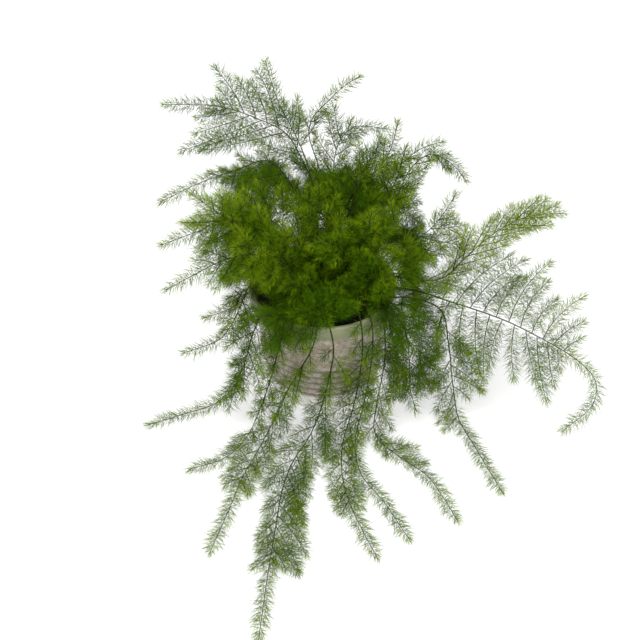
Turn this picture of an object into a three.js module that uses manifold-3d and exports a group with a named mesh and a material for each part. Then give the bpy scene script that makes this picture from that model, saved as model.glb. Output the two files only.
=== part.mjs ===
import * as THREE from "three";
import { mergeVertices } from "three/addons/utils/BufferGeometryUtils.js";
import Module from "manifold-3d";

// A potted asparagus fern, in millimetres, +Z up. The origin is the middle of the pot's flat foot.
// The fronds are grown by a formula: a wiry stem along a hand-chosen route, branchlets on both
// sides of it, and needles all round each branchlet.

const wasm = await Module();
wasm.setup();

// The pot's driving sizes
const potHeight = 60;
const rimRadius = 37.5;
const rimLipWidth = 2;
const rimBandHeight = 8;
const footRadius = 29;
const wallTopRadius = 35.2;
const wallThickness = 1.4;
const floorThickness = 1.6;
const ringHeights = [9, 17.4, 25.8];
const ringProud = 0.7;
const potFacets = 30;
const drainHoleCount = 5;
const drainHoleRadius = 3;
const drainCircleRadius = 19;

// The potting mix
const seatGap = 0.3;
const soilTop = 52;
const soilCrown = 0.5;
const stemHoleRadius = 1.7;
const stemHoleDepth = 10;

// The fronds' driving sizes
const stemRootRadius = 0.95;
const stemTipRadius = 0.45;
const branchletRadius = 0.48;
const branchletTipRadius = 0.3;
const ringSpacing = 10;
const shortestBranchlet = 7;
const needleSpacing = 6.5;
const needleLength = 8;
const needleFoot = 1;
const needleRadius = 0.25;
const floorGap = 0.35;
const nodeGap = 0.25;

// How far the branchlets at a frond's tip lean off it, beside those at its start, where the frond
// has no lean of its own there
const tipLeanShare = 0.75;

// How a frond narrows along its stem, and how steeply where its tail begins
const narrowing = 0.45;
const tailTaper = 1.6;

// The needles' lean off their branchlet and the branchlets' swing out of the flat spray, in degrees
const needleAngle = 52;
const swingSpread = 60;

// How far a branchlet bends towards the stem's own way, and down for each millimetre of its length
const branchletCurl = 0.5;
const branchletDroop = 0.008;

// The directions that a frond's flat spray can face
const FRONT = [0, -0.7, 0.7];
const UP = [0, 0, 1];
const BACK = [0, 0.6, 0.8];
const LEFT = [-0.7, 0, 0.7];
const RIGHT = [0.7, 0, 0.7];

// Each frond: where its stem stands in the mix, which way its spray faces, how long its branchlets
// grow on the left and right of its way, how far they lean off it at first and at its tip, the bare
// share of its stem, the length of its tail on either side, which carries needles alone, and its
// stem's route
const fronds = [
  { name: "frond_top_left", seed: 11, base: [-4, 7], faces: FRONT, reach: [38, 28], lean: [48, 56],
    bare: 0.56, tail: [26, 26],
    route: [[-4, 16, 104], [-10, 22, 118], [-18, 29, 129], [-31, 34, 134], [-51, 40, 138],
      [-79, 44, 137]] },
  { name: "frond_top_fan", seed: 42, base: [-2, 11.5], faces: FRONT, reach: [11, 8], lean: [60, 60],
    bare: 0.6, tail: [22, 22],
    route: [[-5, 22, 104], [-10, 29, 119], [-16, 34, 131], [-21, 37, 140], [-24, 40, 147],
      [-26, 43, 153], [-28, 45, 160]] },
  { name: "frond_top_arch", seed: 12, base: [2, 10], faces: FRONT, reach: [6, 8], lean: [58, 58],
    bare: 0.62, tail: [30, 24],
    route: [[3, 17, 94], [-2, 26, 112], [-7, 33, 127], [-5, 36, 134], [3, 39, 142], [11, 41, 149],
      [18, 42, 153]] },
  { name: "frond_top_plume", seed: 44, base: [0, 6], faces: FRONT, reach: [18, 12], lean: [60, 60],
    bare: 0.35, tail: [16, 16],
    route: [[4, 12, 92], [5, 21, 107], [6, 29, 118], [10, 35, 125], [16, 38, 128], [24, 40, 127],
      [32, 41, 125]] },
  { name: "frond_left_upper", seed: 13, base: [-9, 5], faces: FRONT, reach: [20, 6], lean: [62, 62],
    bare: 0.35, tail: [30, 22],
    route: [[-11, 8, 94], [-17, 13, 113], [-27, 13, 123], [-40, 9, 121], [-59, 4, 116], [-78, 0, 108]] },
  { name: "frond_left_bright", seed: 14, base: [-12, -5], faces: FRONT, reach: [26, 20], lean: [60, 60],
    bare: 0.2, tail: [10, 10],
    route: [[-18, -10, 80], [-33, -17, 99], [-48, -20, 114], [-60, -22, 126]] },
  { name: "frond_left_middle", seed: 15, base: [-12, 0], faces: FRONT, reach: [20, 20], lean: [62, 62],
    bare: 0.2, tail: [18, 18],
    route: [[-13, -3, 84], [-26, -6, 102], [-43, -9, 105], [-61, -13, 99], [-77, -16, 94]] },
  { name: "frond_left_low", seed: 16, base: [-13, -10], faces: FRONT, reach: [19, 18], lean: [62, 62],
    bare: 0.2, tail: [21, 21],
    route: [[-17, -15, 78], [-31, -21, 92], [-46, -27, 93], [-61, -31, 87], [-74, -33, 80]] },
  { name: "frond_left_small", seed: 45, base: [-17, -6], faces: FRONT, reach: [7, 4], lean: [62, 62],
    bare: 0.3, tail: [24, 24],
    route: [[-25, -9, 68], [-33, -10, 67], [-38, -11, 61], [-42, -12, 56], [-49, -14, 53],
      [-60, -15, 49]] },
  { name: "frond_left_droop", seed: 17, base: [-17, -1], faces: FRONT, reach: [16, 8], lean: [62, 62],
    bare: 0.2, tail: [26, 26],
    route: [[-26, -5, 64], [-35, -7, 65], [-40, -10, 57], [-45, -13, 46], [-52, -15, 36],
      [-62, -16, 31], [-72, -17, 28]] },
  { name: "frond_front_left", seed: 18, base: [-7, -15], faces: UP, reach: [16, 14], lean: [52, 66],
    bare: 0.3, tail: [40, 40],
    route: [[-3, -31, 66], [-3, -40, 63], [-5, -45, 55], [-12, -46, 40], [-20, -47, 23],
      [-26, -50, 8], [-31, -58, 2.4], [-39, -80, 2], [-44, -100, 2], [-51, -126, 2]] },
  { name: "frond_front_side", seed: 19, base: [-12, -15], faces: UP, reach: [20, 16], lean: [62, 62],
    bare: 0.16, tail: [50, 50],
    route: [[-22, -25, 66], [-29, -31, 64], [-34, -35, 55], [-38, -36, 40], [-45, -34, 20],
      [-55, -32, 7], [-72, -35, 2], [-89, -43, 2]] },
  { name: "frond_front_middle", seed: 20, base: [-1, -17], faces: UP, reach: [30, 14], lean: [52, 52],
    bare: 0.3, tail: [40, 40],
    route: [[1, -31, 66], [3, -40, 64], [5, -45, 54], [3, -47, 38], [-1, -50, 20], [-7, -56, 6],
      [-14, -67, 2.2], [-19, -85, 2], [-22, -112, 2], [-25, -145, 2], [-27, -172, 2]] },
  { name: "frond_front_inner", seed: 43, base: [3, -14], faces: UP, reach: [14, 14], lean: [56, 56],
    bare: 0.3, tail: [30, 30],
    route: [[16, -29, 66], [18, -36, 63], [19, -41, 54], [18, -43, 36], [15, -47, 18], [10, -57, 4.5],
      [9, -72, 2], [11, -90, 2], [17, -110, 2], [24, -128, 2]] },
  { name: "frond_front_right", seed: 21, base: [7, -16], faces: UP, reach: [5, 10], lean: [60, 60],
    bare: 0.22, tail: [56, 56],
    route: [[20, -26, 66], [23, -33, 63], [24, -38, 54], [23, -41, 36], [20, -46, 18], [16, -56, 4.5],
      [18, -76, 2], [29, -96, 2], [39, -118, 2]] },
  { name: "frond_right_front", seed: 22, base: [11, -13], faces: UP, reach: [14, 8], lean: [62, 62],
    bare: 0.14, tail: [40, 46],
    route: [[24, -22, 66], [28, -30, 63], [30, -34, 54], [30, -37, 36], [27, -42, 16], [26, -51, 4],
      [37, -65, 2], [50, -78, 2], [57, -93, 2], [62, -107, 2]] },
  { name: "frond_right_droop", seed: 23, base: [14, -9], faces: FRONT, reach: [20, 16], lean: [62, 66],
    bare: 0.38, tail: [62, 44],
    route: [[34, -20, 66], [47, -26, 69], [57, -28, 64], [62, -30, 44], [66, -32, 18], [69, -40, 4],
      [75, -57, 2], [85, -89, 2]] },
  { name: "frond_right_arch", seed: 24, base: [14, -3], faces: FRONT, reach: [36, 32], lean: [82, 94],
    bare: 0.29, tail: [52, 55], tipLean: [104, 60],
    route: [[30, -9, 64], [45, -13, 65], [61, -16, 61], [88, -19, 52], [103, -21, 45], [129, -26, 30],
      [138, -31, 21], [136, -40, 14], [119, -53, 7]] },
  { name: "frond_right_upper", seed: 25, base: [14, 3], faces: FRONT, reach: [19, 22], lean: [36, 34],
    bare: 0.33, tail: [6, 14],
    route: [[24, -1, 63], [36, -4, 67], [48, -5, 65], [60, -5, 67], [70, -4, 78], [78, -2, 86],
      [88, 2, 92], [101, 6, 96], [119, 9, 96]] },
  { name: "frond_right_tall", seed: 46, base: [10, 0], faces: FRONT, reach: [6, 24], lean: [56, 56],
    bare: 0.36, tail: [12, 12],
    route: [[22, 2, 68], [36, 3, 78], [50, 5, 86], [59, 8, 96], [65, 10, 107]] },
  { name: "frond_back_right", seed: 26, base: [11, 9], faces: FRONT, reach: [5, 12], lean: [60, 60],
    bare: 0.38, tail: [14, 14],
    route: [[24, 14, 74], [31, 17, 90], [37, 20, 100], [44, 26, 112], [53, 30, 117], [64, 32, 111],
      [73, 33, 100]] },
  { name: "frond_back_right_tall", seed: 27, base: [7, 13], faces: FRONT, reach: [4, 6], lean: [60, 60],
    bare: 0.5, tail: [12, 12],
    route: [[18, 17, 78], [29, 25, 97], [39, 30, 111], [49, 34, 118], [60, 36, 121]] },
  { name: "frond_back_middle", seed: 28, base: [1, 15], faces: FRONT, reach: [20, 20], lean: [60, 60],
    bare: 0.3, tail: [16, 16],
    route: [[10, 22, 86], [17, 28, 98], [26, 31, 106], [32, 34, 113], [35, 36, 121], [37, 38, 131]] },
  { name: "frond_crown_arch", seed: 29, base: [-4, -4], faces: FRONT, reach: [18, 18], lean: [66, 66],
    bare: 0.16, tail: [8, 8],
    route: [[3, -2, 81], [0, 0, 97], [-8, 1, 108], [-18, 0, 110]] },
  { name: "frond_crown_low", seed: 30, base: [0, -9], faces: FRONT, reach: [16, 16], lean: [66, 66],
    bare: 0.16, tail: [8, 8],
    route: [[11, -9, 74], [9, -13, 89], [2, -16, 96], [-6, -19, 94]] },
  { name: "frond_crown_middle", seed: 31, base: [4, -5], faces: FRONT, reach: [18, 18], lean: [66, 66],
    bare: 0.16, tail: [8, 8],
    route: [[16, -5, 75], [20, -8, 89], [22, -10, 101], [23, -11, 110]] },
  { name: "frond_crown_right", seed: 32, base: [9, -4], faces: FRONT, reach: [16, 5], lean: [66, 66],
    bare: 0.16, tail: [8, 8],
    route: [[26, -3, 74], [32, -4, 88], [34, -5, 99], [32, -5, 111]] },
  { name: "frond_crown_tall", seed: 33, base: [4, 4], faces: FRONT, reach: [20, 20], lean: [66, 66],
    bare: 0.16, tail: [10, 10],
    route: [[12, 8, 84], [15, 14, 102], [20, 17, 116], [29, 20, 131]] },
  { name: "frond_crown_bright", seed: 34, base: [9, 4], faces: FRONT, reach: [18, 14], lean: [66, 66],
    bare: 0.45, tail: [10, 10],
    route: [[22, 7, 79], [30, 12, 97], [36, 16, 112], [40, 18, 128]] },
  { name: "frond_crown_front", seed: 35, base: [-5, -10], faces: FRONT, reach: [15, 15], lean: [66, 66],
    bare: 0.16, tail: [8, 8],
    route: [[-6, -19, 64], [-8, -25, 73], [-13, -29, 79], [-20, -32, 80]] },
  { name: "frond_crown_side", seed: 36, base: [13, -17], faces: FRONT, reach: [14, 14], lean: [66, 66],
    bare: 0.16, tail: [8, 8],
    route: [[18, -19, 68], [25, -20, 77], [31, -20, 85], [36, -18, 91]] },
  { name: "frond_crown_edge", seed: 52, base: [13, -6], faces: FRONT, reach: [16, 14], lean: [66, 66],
    bare: 0.16, tail: [8, 8],
    route: [[28, -10, 70], [37, -13, 75], [45, -15, 75], [51, -16, 71]] },
  { name: "frond_back_left_fall", seed: 37, base: [-9, 14], faces: BACK, reach: [26, 26], lean: [62, 62],
    bare: 0.16, tail: [30, 30],
    route: [[-15, 30, 84], [-24, 48, 92], [-34, 68, 84], [-43, 88, 62], [-50, 104, 34],
      [-54, 114, 10], [-60, 128, 2]] },
  { name: "frond_back_fall", seed: 38, base: [-3, 16], faces: BACK, reach: [26, 26], lean: [62, 62],
    bare: 0.16, tail: [30, 30],
    route: [[-2, 34, 79], [3, 54, 88], [8, 74, 78], [13, 90, 54], [17, 100, 26], [20, 110, 5],
      [24, 128, 2]] },
  { name: "frond_back_right_fall", seed: 39, base: [5, 18], faces: BACK, reach: [26, 16], lean: [62, 62],
    bare: 0.16, tail: [30, 30],
    route: [[16, 32, 76], [28, 50, 81], [40, 68, 71], [48, 82, 47], [52, 90, 20], [56, 99, 3],
      [60, 113, 2]] },
  { name: "frond_left_fall", seed: 40, base: [-16, 6], faces: LEFT, reach: [22, 22], lean: [62, 62],
    bare: 0.16, tail: [26, 26],
    route: [[-28, 22, 73], [-38, 38, 73], [-46, 54, 55], [-50, 66, 28], [-54, 74, 6], [-58, 86, 2]] },
  { name: "frond_right_fall", seed: 41, base: [15, 10], faces: RIGHT, reach: [22, 22], lean: [62, 62],
    bare: 0.16, tail: [26, 26],
    route: [[28, 22, 72], [37, 29, 72], [44, 37, 60], [49, 43, 40], [53, 49, 18], [56, 56, 4],
      [60, 66, 2]] },
  { name: "frond_right_low", seed: 47, base: [16, -13], faces: FRONT, reach: [24, 24], lean: [66, 66],
    bare: 0.1, tail: [8, 8],
    route: [[29, -21, 66], [37, -26, 62], [41, -30, 50], [43, -33, 34], [44, -36, 20], [47, -41, 10]] },
  { name: "frond_rim_left", seed: 48, base: [-4, -20], faces: UP, reach: [18, 20], lean: [62, 62],
    bare: 0.1, tail: [6, 6],
    route: [[-8, -27, 63], [-12, -34, 68], [-17, -40, 68], [-23, -45, 62], [-28, -48, 54]] },
  { name: "frond_rim_middle", seed: 51, base: [1, -20.5], faces: UP, reach: [16, 18], lean: [64, 64],
    bare: 0.1, tail: [6, 6],
    route: [[2, -27, 64], [1, -34, 69], [-3, -41, 70], [-9, -47, 65], [-14, -50, 57]] },
  { name: "frond_front_low", seed: 50, base: [-9, -12], faces: UP, reach: [8, 9], lean: [62, 62],
    bare: 0.25, tail: [26, 26],
    route: [[-14, -30, 66], [-18, -36, 63], [-21, -41, 53], [-25, -43, 36], [-31, -46, 17],
      [-38, -54, 4.5], [-48, -66, 2], [-65, -74, 2]] },
  { name: "frond_crown_rim", seed: 49, base: [-2, -13], faces: FRONT, reach: [12, 12], lean: [70, 70],
    bare: 0.1, tail: [8, 8],
    route: [[-1, -20, 63], [3, -25, 67], [9, -29, 69], [16, -31, 69]] },
];

// Colours and finishes
const potLook = new THREE.MeshStandardMaterial({ color: 0xe1ded2, roughness: 0.42, metalness: 0 });
const mixLook = new THREE.MeshStandardMaterial({ color: 0x2a2416, roughness: 0.95, metalness: 0 });
const frondLook = new THREE.MeshStandardMaterial({ color: 0x4a6414, roughness: 0.6, metalness: 0 });

const degrees = Math.PI / 180;
const vector = (point) => new THREE.Vector3(point[0], point[1], point[2]);
const between = THREE.MathUtils.lerp;

// A closed three.js geometry as a solid that can be joined and cut
function solidOf(geometry) {
  const bare = geometry.clone();
  bare.deleteAttribute("normal");
  bare.deleteAttribute("uv");
  const merged = mergeVertices(bare, 1e-4);
  return new wasm.Manifold(new wasm.Mesh({
    numProp: 3,
    vertProperties: new Float32Array(merged.attributes.position.array),
    triVerts: new Uint32Array(merged.index.array),
  }));
}

function geometryOf(solid) {
  const result = solid.getMesh();
  const geometry = new THREE.BufferGeometry();
  geometry.setAttribute("position", new THREE.BufferAttribute(new Float32Array(result.vertProperties), 3));
  geometry.setIndex(new THREE.BufferAttribute(new Uint32Array(result.triVerts), 1));
  geometry.computeVertexNormals();
  return geometry;
}

function turned(points) {
  const profile = points.map(([radius, height]) => new THREE.Vector2(radius, height));
  const geometry = new THREE.LatheGeometry(profile, potFacets);
  geometry.rotateX(Math.PI / 2);
  return geometry;
}

function upright(radius, height, facets, x, y, middle) {
  const geometry = new THREE.CylinderGeometry(radius, radius, height, facets);
  geometry.rotateX(Math.PI / 2);
  geometry.translate(x, y, middle);
  return geometry;
}

// The pot's outer wall between its foot and the underside of the rim band
const bandBottom = potHeight - rimBandHeight;
const wallRadiusAt = (height) => between(footRadius, wallTopRadius, height / bandBottom);

function makePot() {
  const rings = ringHeights.flatMap((height) => [
    [wallRadiusAt(height - 1.1), height - 1.1],
    [wallRadiusAt(height) + ringProud, height],
    [wallRadiusAt(height + 1.1), height + 1.1],
  ]);
  const lipInside = rimRadius - rimLipWidth;
  const profile = [
    [0, 0],
    [footRadius - 0.8, 0],
    [wallRadiusAt(0.8), 0.8],
    ...rings,
    [wallTopRadius, bandBottom],
    [rimRadius - 0.4, bandBottom],
    [rimRadius, bandBottom + 0.8],
    [rimRadius, potHeight - 0.7],
    [rimRadius - 0.7, potHeight],
    [lipInside + 0.5, potHeight],
    [lipInside, potHeight - 0.6],
    [wallRadiusAt(bandBottom) - wallThickness, bandBottom - 1],
    [wallRadiusAt(floorThickness) - wallThickness, floorThickness],
    [0, floorThickness],
  ];
  let solid = solidOf(turned(profile));
  for (let i = 0; i < drainHoleCount; i += 1) {
    const turn = (i * 2 * Math.PI) / drainHoleCount;
    const x = drainCircleRadius * Math.cos(turn);
    const y = drainCircleRadius * Math.sin(turn);
    solid = solid.subtract(solidOf(upright(drainHoleRadius, 3 * floorThickness, 12, x, y, 0)));
  }
  return geometryOf(solid);
}

// The mix fills the pot's inside with a thin seat gap, and has a plain hole for each stem
function makePottingMix() {
  const bottom = floorThickness + seatGap;
  const reachAt = (height) => wallRadiusAt(height) - wallThickness - seatGap;
  let solid = solidOf(turned([
    [0, bottom],
    [reachAt(bottom), bottom],
    [reachAt(bandBottom - 1), bandBottom - 1],
    [reachAt(bandBottom - 1) - 0.6, soilTop],
    [0, soilTop + soilCrown],
  ]));
  for (const { base } of fronds) {
    const hole = upright(stemHoleRadius, 2 * stemHoleDepth, 6, base[0], base[1], soilTop);
    solid = solid.subtract(solidOf(hole));
  }
  return geometryOf(solid);
}

// A seeded draw from 0 to 1, the same on every run
function seededDraw(seed) {
  let state = seed * 7919;
  return () => {
    state = (state * 1664525 + 1013904223) % 4294967296;
    return state / 4294967296;
  };
}

// What is already grown, as sample balls in a grid of cells, so that later growth stays clear of it
const cellSize = 3;
const sampleStep = 1;
const sampleSlack = 0.5;
const grown = new Map();
const cellKey = (x, y, z) => `${x},${y},${z}`;
const cellOf = (value) => Math.floor(value / cellSize);

function samplesAlong(from, to, skipped) {
  const length = from.distanceTo(to);
  const samples = [];
  for (let run = skipped; run <= length; run += sampleStep) {
    samples.push(from.clone().lerp(to, run / length));
  }
  samples.push(to.clone());
  return samples;
}

function occupy(samples, radius, owner) {
  for (const point of samples) {
    const key = cellKey(cellOf(point.x), cellOf(point.y), cellOf(point.z));
    if (!grown.has(key)) {
      grown.set(key, []);
    }
    grown.get(key).push({ point, radius, owner });
  }
}

function meetsGrowth(point, radius, owner) {
  for (let x = cellOf(point.x) - 1; x <= cellOf(point.x) + 1; x += 1) {
    for (let y = cellOf(point.y) - 1; y <= cellOf(point.y) + 1; y += 1) {
      for (let z = cellOf(point.z) - 1; z <= cellOf(point.z) + 1; z += 1) {
        for (const other of grown.get(cellKey(x, y, z)) ?? []) {
          const reach = radius + other.radius + nodeGap;
          const near = point.distanceToSquared(other.point) < reach * reach + sampleSlack;
          if (near && other.owner !== owner) {
            return true;
          }
        }
      }
    }
  }
  return false;
}

function meetsPot(point, radius) {
  const room = radius + nodeGap;
  if (point.z < floorGap + radius) {
    return true;
  }
  const fromAxis = Math.hypot(point.x, point.y);
  const overTheLip = point.z > potHeight + room;
  const overTheMix = point.z > soilTop + soilCrown + room && fromAxis < rimRadius - rimLipWidth - room;
  const outerRadius = point.z > bandBottom - room ? rimRadius : wallRadiusAt(point.z) + ringProud;
  return !(overTheLip || overTheMix || fromAxis > outerRadius + room);
}

function isClear(samples, radius, owner) {
  return samples.every((point) => !meetsPot(point, radius) && !meetsGrowth(point, radius, owner));
}

// A tube's station: its middle, the way on, and the two directions square to it
function makeStation(middle, ahead, faces, radius) {
  const side = faces.clone().cross(ahead).normalize();
  const up = ahead.clone().cross(side).normalize();
  return { middle, ahead, side, up, radius, turn: 0 };
}

function around(station, angle) {
  return station.side.clone().multiplyScalar(Math.cos(angle)).addScaledVector(station.up, Math.sin(angle));
}

// The three corners of a station's ring. Its first edge faces the station's turn.
function cornersOf(station) {
  return [-60, 60, 180].map((offset) => {
    const outward = around(station, station.turn + offset * degrees);
    return station.middle.clone().addScaledVector(outward, station.radius);
  });
}

// Stations stand closer together towards the tip
const closerToTip = (share) => share + 0.25 * share * (1 - share);

// A stem: a straight foot in its hole, then stations along the smooth route to the tip
function planStem(frond) {
  const faces = vector(frond.faces);
  const [x, y] = frond.base;
  const foot = new THREE.Vector3(x, y, soilTop - stemHoleDepth + 0.6);
  const collar = new THREE.Vector3(x, y, soilTop + 1.2);
  const curve = new THREE.CatmullRomCurve3([collar, ...frond.route.map(vector)], false, "centripetal");
  const count = Math.round(curve.getLength() / ringSpacing);
  const stations = [makeStation(foot, new THREE.Vector3(0, 0, 1), faces, stemRootRadius)];
  for (let i = 0; i <= count; i += 1) {
    const share = closerToTip(i / count);
    const radius = between(stemRootRadius, stemTipRadius, share);
    const station = makeStation(curve.getPointAt(share), curve.getTangentAt(share), faces, radius);
    station.share = share;
    stations.push(station);
  }
  const length = curve.getLength();
  const stem = { owner: frond.name, bare: frond.bare, length, stations, branchlets: [], needles: [] };
  for (let i = 1; i < stations.length; i += 1) {
    occupy(samplesAlong(stations[i - 1].middle, stations[i].middle, 0), stations[i].radius, stem.owner);
  }
  return stem;
}

// A branchlet's length: longest near the frond's start, and nothing where the tail begins
function fullLengthOf(stem, frond, side, share, grownShare) {
  const inFrond = frond.reach[side] * (1 - narrowing * grownShare ** 2);
  const beforeTail = tailTaper * (stem.length * (1 - share) - frond.tail[side]);
  return Math.min(inFrond, beforeTail);
}

// A branchlet's stations: it curls towards the stem's own way and droops under its weight
function branchletStations(station, length, sign, swing, angle) {
  const outward = station.side.clone().multiplyScalar(sign * Math.cos(swing));
  outward.addScaledVector(station.up, Math.sin(swing));
  const start = station.ahead.clone().multiplyScalar(Math.cos(angle));
  start.addScaledVector(outward, Math.sin(angle));
  const count = Math.max(2, Math.round(length / needleSpacing));
  const stride = length / count;
  const first = station.middle.clone().addScaledVector(outward, 0.5 * station.radius);
  const stations = [makeStation(first, start, station.up, branchletRadius)];
  for (let i = 1; i <= count; i += 1) {
    const share = i / count;
    const way = start.clone().addScaledVector(station.ahead, branchletCurl * share);
    way.z -= branchletDroop * share * length;
    const last = stations[i - 1].middle;
    const next = last.clone().addScaledVector(way.normalize(), stride);
    next.z = Math.max(next.z, floorGap + 2 * branchletRadius);
    const radius = between(branchletRadius, branchletTipRadius, share);
    stations.push(makeStation(next, next.clone().sub(last).normalize(), station.up, radius));
  }
  return stations;
}

// Each station past the bare foot of the stem gets one branchlet, on alternate sides. One that
// would cross other growth is swung aside, then shortened, and left out where nothing is clear.
const swingTries = [0, 25, -25, 50, -50, 75, -75, 105, -105];
const lengthTries = [1, 0.75, 0.5, 0.32];

function planBranchlets(stem, frond) {
  const draw = seededDraw(frond.seed);
  for (let i = 2; i < stem.stations.length - 1; i += 1) {
    const station = stem.stations[i];
    const swing = (draw() - 0.5) * swingSpread;
    const vigour = 0.85 + 0.3 * draw();
    const twist = draw() * 120;
    station.turn = twist * degrees;
    if (station.share < frond.bare) {
      continue;
    }
    const side = i % 2;
    const sign = side === 0 ? 1 : -1;
    const grownShare = (station.share - frond.bare) / (1 - frond.bare);
    const fullLength = vigour * fullLengthOf(stem, frond, side, station.share, grownShare);
    const tipLean = frond.tipLean ? frond.tipLean[side] : tipLeanShare * frond.lean[side];
    const angle = between(frond.lean[side], tipLean, grownShare) * degrees;
    const owner = `${frond.name} ${i}`;
    const branchlet = clearBranchlet(station, fullLength, sign, swing, angle, owner);
    if (branchlet) {
      branchlet.host = i;
      stem.branchlets.push(branchlet);
      station.turn = branchlet.turn;
    }
  }
}

function clearBranchlet(station, fullLength, sign, swing, angle, owner) {
  for (const shorter of lengthTries) {
    for (const aside of swingTries) {
      const swung = (swing + aside) * degrees;
      const stations = branchletStations(station, fullLength * shorter, sign, swung, angle);
      const samples = [];
      for (let k = 1; k < stations.length; k += 1) {
        samples.push(...samplesAlong(stations[k - 1].middle, stations[k].middle, k === 1 ? 3 : 0));
      }
      if (fullLength * shorter > shortestBranchlet && isClear(samples, branchletRadius, owner)) {
        occupy(samples, branchletRadius, owner);
        const turn = Math.atan2(Math.sin(swung), sign * Math.cos(swung));
        return { owner, stations, turn, needles: [] };
      }
    }
  }
  return null;
}

// Needles stand on the edges of a tube's rings, lean forward, and keep clear of everything else
function planNeedles(tube, firstStation, isFree, lengthAt) {
  for (let i = firstStation; i < tube.stations.length - 1; i += 1) {
    const station = tube.stations[i];
    for (let edge = 0; edge < 3; edge += 1) {
      if (!isFree(i, edge)) {
        continue;
      }
      const outward = around(station, station.turn + edge * 120 * degrees);
      const lean = station.ahead.clone().multiplyScalar(Math.cos(needleAngle * degrees));
      lean.addScaledVector(outward, Math.sin(needleAngle * degrees));
      const root = station.middle.clone().addScaledVector(outward, 0.5 * station.radius);
      for (const shorter of [1, 0.7, 0.5]) {
        const tip = root.clone().addScaledVector(lean, lengthAt(i) * shorter);
        const samples = samplesAlong(root, tip, needleFoot);
        if (isClear(samples, needleRadius, tube.owner)) {
          occupy(samples, needleRadius, tube.owner);
          tube.needles.push({ host: i, edge, tip });
          break;
        }
      }
    }
  }
}

// A closed faceted body that grows: each outgrowth replaces a small patch of a face
class Body {
  constructor() {
    this.points = [];
    this.faces = [];
  }

  add(point) {
    this.points.push(point);
    return this.points.length - 1;
  }

  addRing(station) {
    return cornersOf(station).map((corner) => this.add(corner));
  }

  // The face on a ring's edge, opened at a small patch by the edge, which the outgrowth closes
  patch(from, to, apex) {
    const middle = this.points[from].clone().lerp(this.points[to], 0.5);
    const length = middle.distanceTo(this.points[apex]);
    const inner = this.add(middle.lerp(this.points[apex], Math.min(0.5, needleFoot / length)));
    this.faces.push([to, apex, inner], [apex, from, inner]);
    return [from, to, inner];
  }

  spike(base, tip) {
    const apex = this.add(tip);
    base.forEach((corner, k) => this.faces.push([corner, base[(k + 1) % 3], apex]));
  }

  geometry() {
    const geometry = new THREE.BufferGeometry();
    const positions = this.points.flatMap((point) => [point.x, point.y, point.z]);
    geometry.setAttribute("position", new THREE.BufferAttribute(new Float32Array(positions), 3));
    geometry.setIndex(this.faces.flat());
    geometry.computeVertexNormals();
    return geometry;
  }
}

// Corners' angles round a station's axis
function anglesAt(station, points) {
  return points.map((point) => {
    const offset = point.clone().sub(station.middle);
    return Math.atan2(offset.dot(station.up), offset.dot(station.side));
  });
}

const wrapped = (angle) => Math.atan2(Math.sin(angle), Math.cos(angle));

// Joins one ring to the next with six faces. grow(edge, face) is called for the face on each of
// the first ring's edges and returns true where it takes that face over.
function joinRings(body, station, first, second, grow) {
  const from = anglesAt(station, first.map((index) => body.points[index]));
  const to = anglesAt(station, second.map((index) => body.points[index]));
  const middleOf = (angles) => Math.atan2(
    angles.reduce((sum, angle) => sum + Math.sin(angle), 0),
    angles.reduce((sum, angle) => sum + Math.cos(angle), 0),
  );
  let best = { cost: Infinity, shift: 0, twist: 0 };
  for (let shift = 0; shift < 3; shift += 1) {
    const twists = from.map((angle, k) => wrapped(to[(k + shift) % 3] - angle));
    const cost = twists.reduce((sum, twist) => sum + Math.abs(twist), 0);
    if (cost < best.cost) {
      best = { cost, shift, twist: middleOf(twists) };
    }
  }
  for (let k = 0; k < 3; k += 1) {
    const next = (k + 1) % 3;
    const near = second[(k + best.shift) % 3];
    const far = second[(next + best.shift) % 3];
    const apex = best.twist > 0 ? near : far;
    if (!grow(k, [first[k], first[next], apex])) {
      body.faces.push([first[k], first[next], apex]);
    }
    body.faces.push(best.twist > 0 ? [first[next], far, near] : [first[k], far, near]);
  }
}

// Grows a tube's rings, needles and branchlets on a body from its first ring's corners
function growTube(body, tube, firstRing) {
  let ring = firstRing;
  const last = tube.stations.length - 1;
  for (let i = 1; i < last; i += 1) {
    const next = body.addRing(tube.stations[i]);
    joinRings(body, tube.stations[i], ring, next, (edge, face) => growOn(body, tube, i - 1, edge, face));
    ring = next;
  }
  const apex = body.add(tube.stations[last].middle);
  for (let edge = 0; edge < 3; edge += 1) {
    const face = [ring[edge], ring[(edge + 1) % 3], apex];
    if (!growOn(body, tube, last - 1, edge, face)) {
      body.faces.push(face);
    }
  }
}

function growOn(body, tube, host, edge, face) {
  const needle = tube.needles.find((each) => each.host === host && each.edge === edge);
  if (needle) {
    body.spike(body.patch(...face), needle.tip);
    return true;
  }
  const branchlet = edge === 0 && (tube.branchlets ?? []).find((each) => each.host === host);
  if (branchlet) {
    growTube(body, branchlet, body.patch(...face));
    return true;
  }
  return false;
}

function makeFrond(stem) {
  const body = new Body();
  const foot = body.addRing(stem.stations[0]);
  body.faces.push([foot[2], foot[1], foot[0]]);
  growTube(body, stem, foot);
  return body.geometry();
}

function meshOf(name, geometry, look) {
  const mesh = new THREE.Mesh(geometry, look);
  mesh.name = name;
  return mesh;
}

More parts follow.
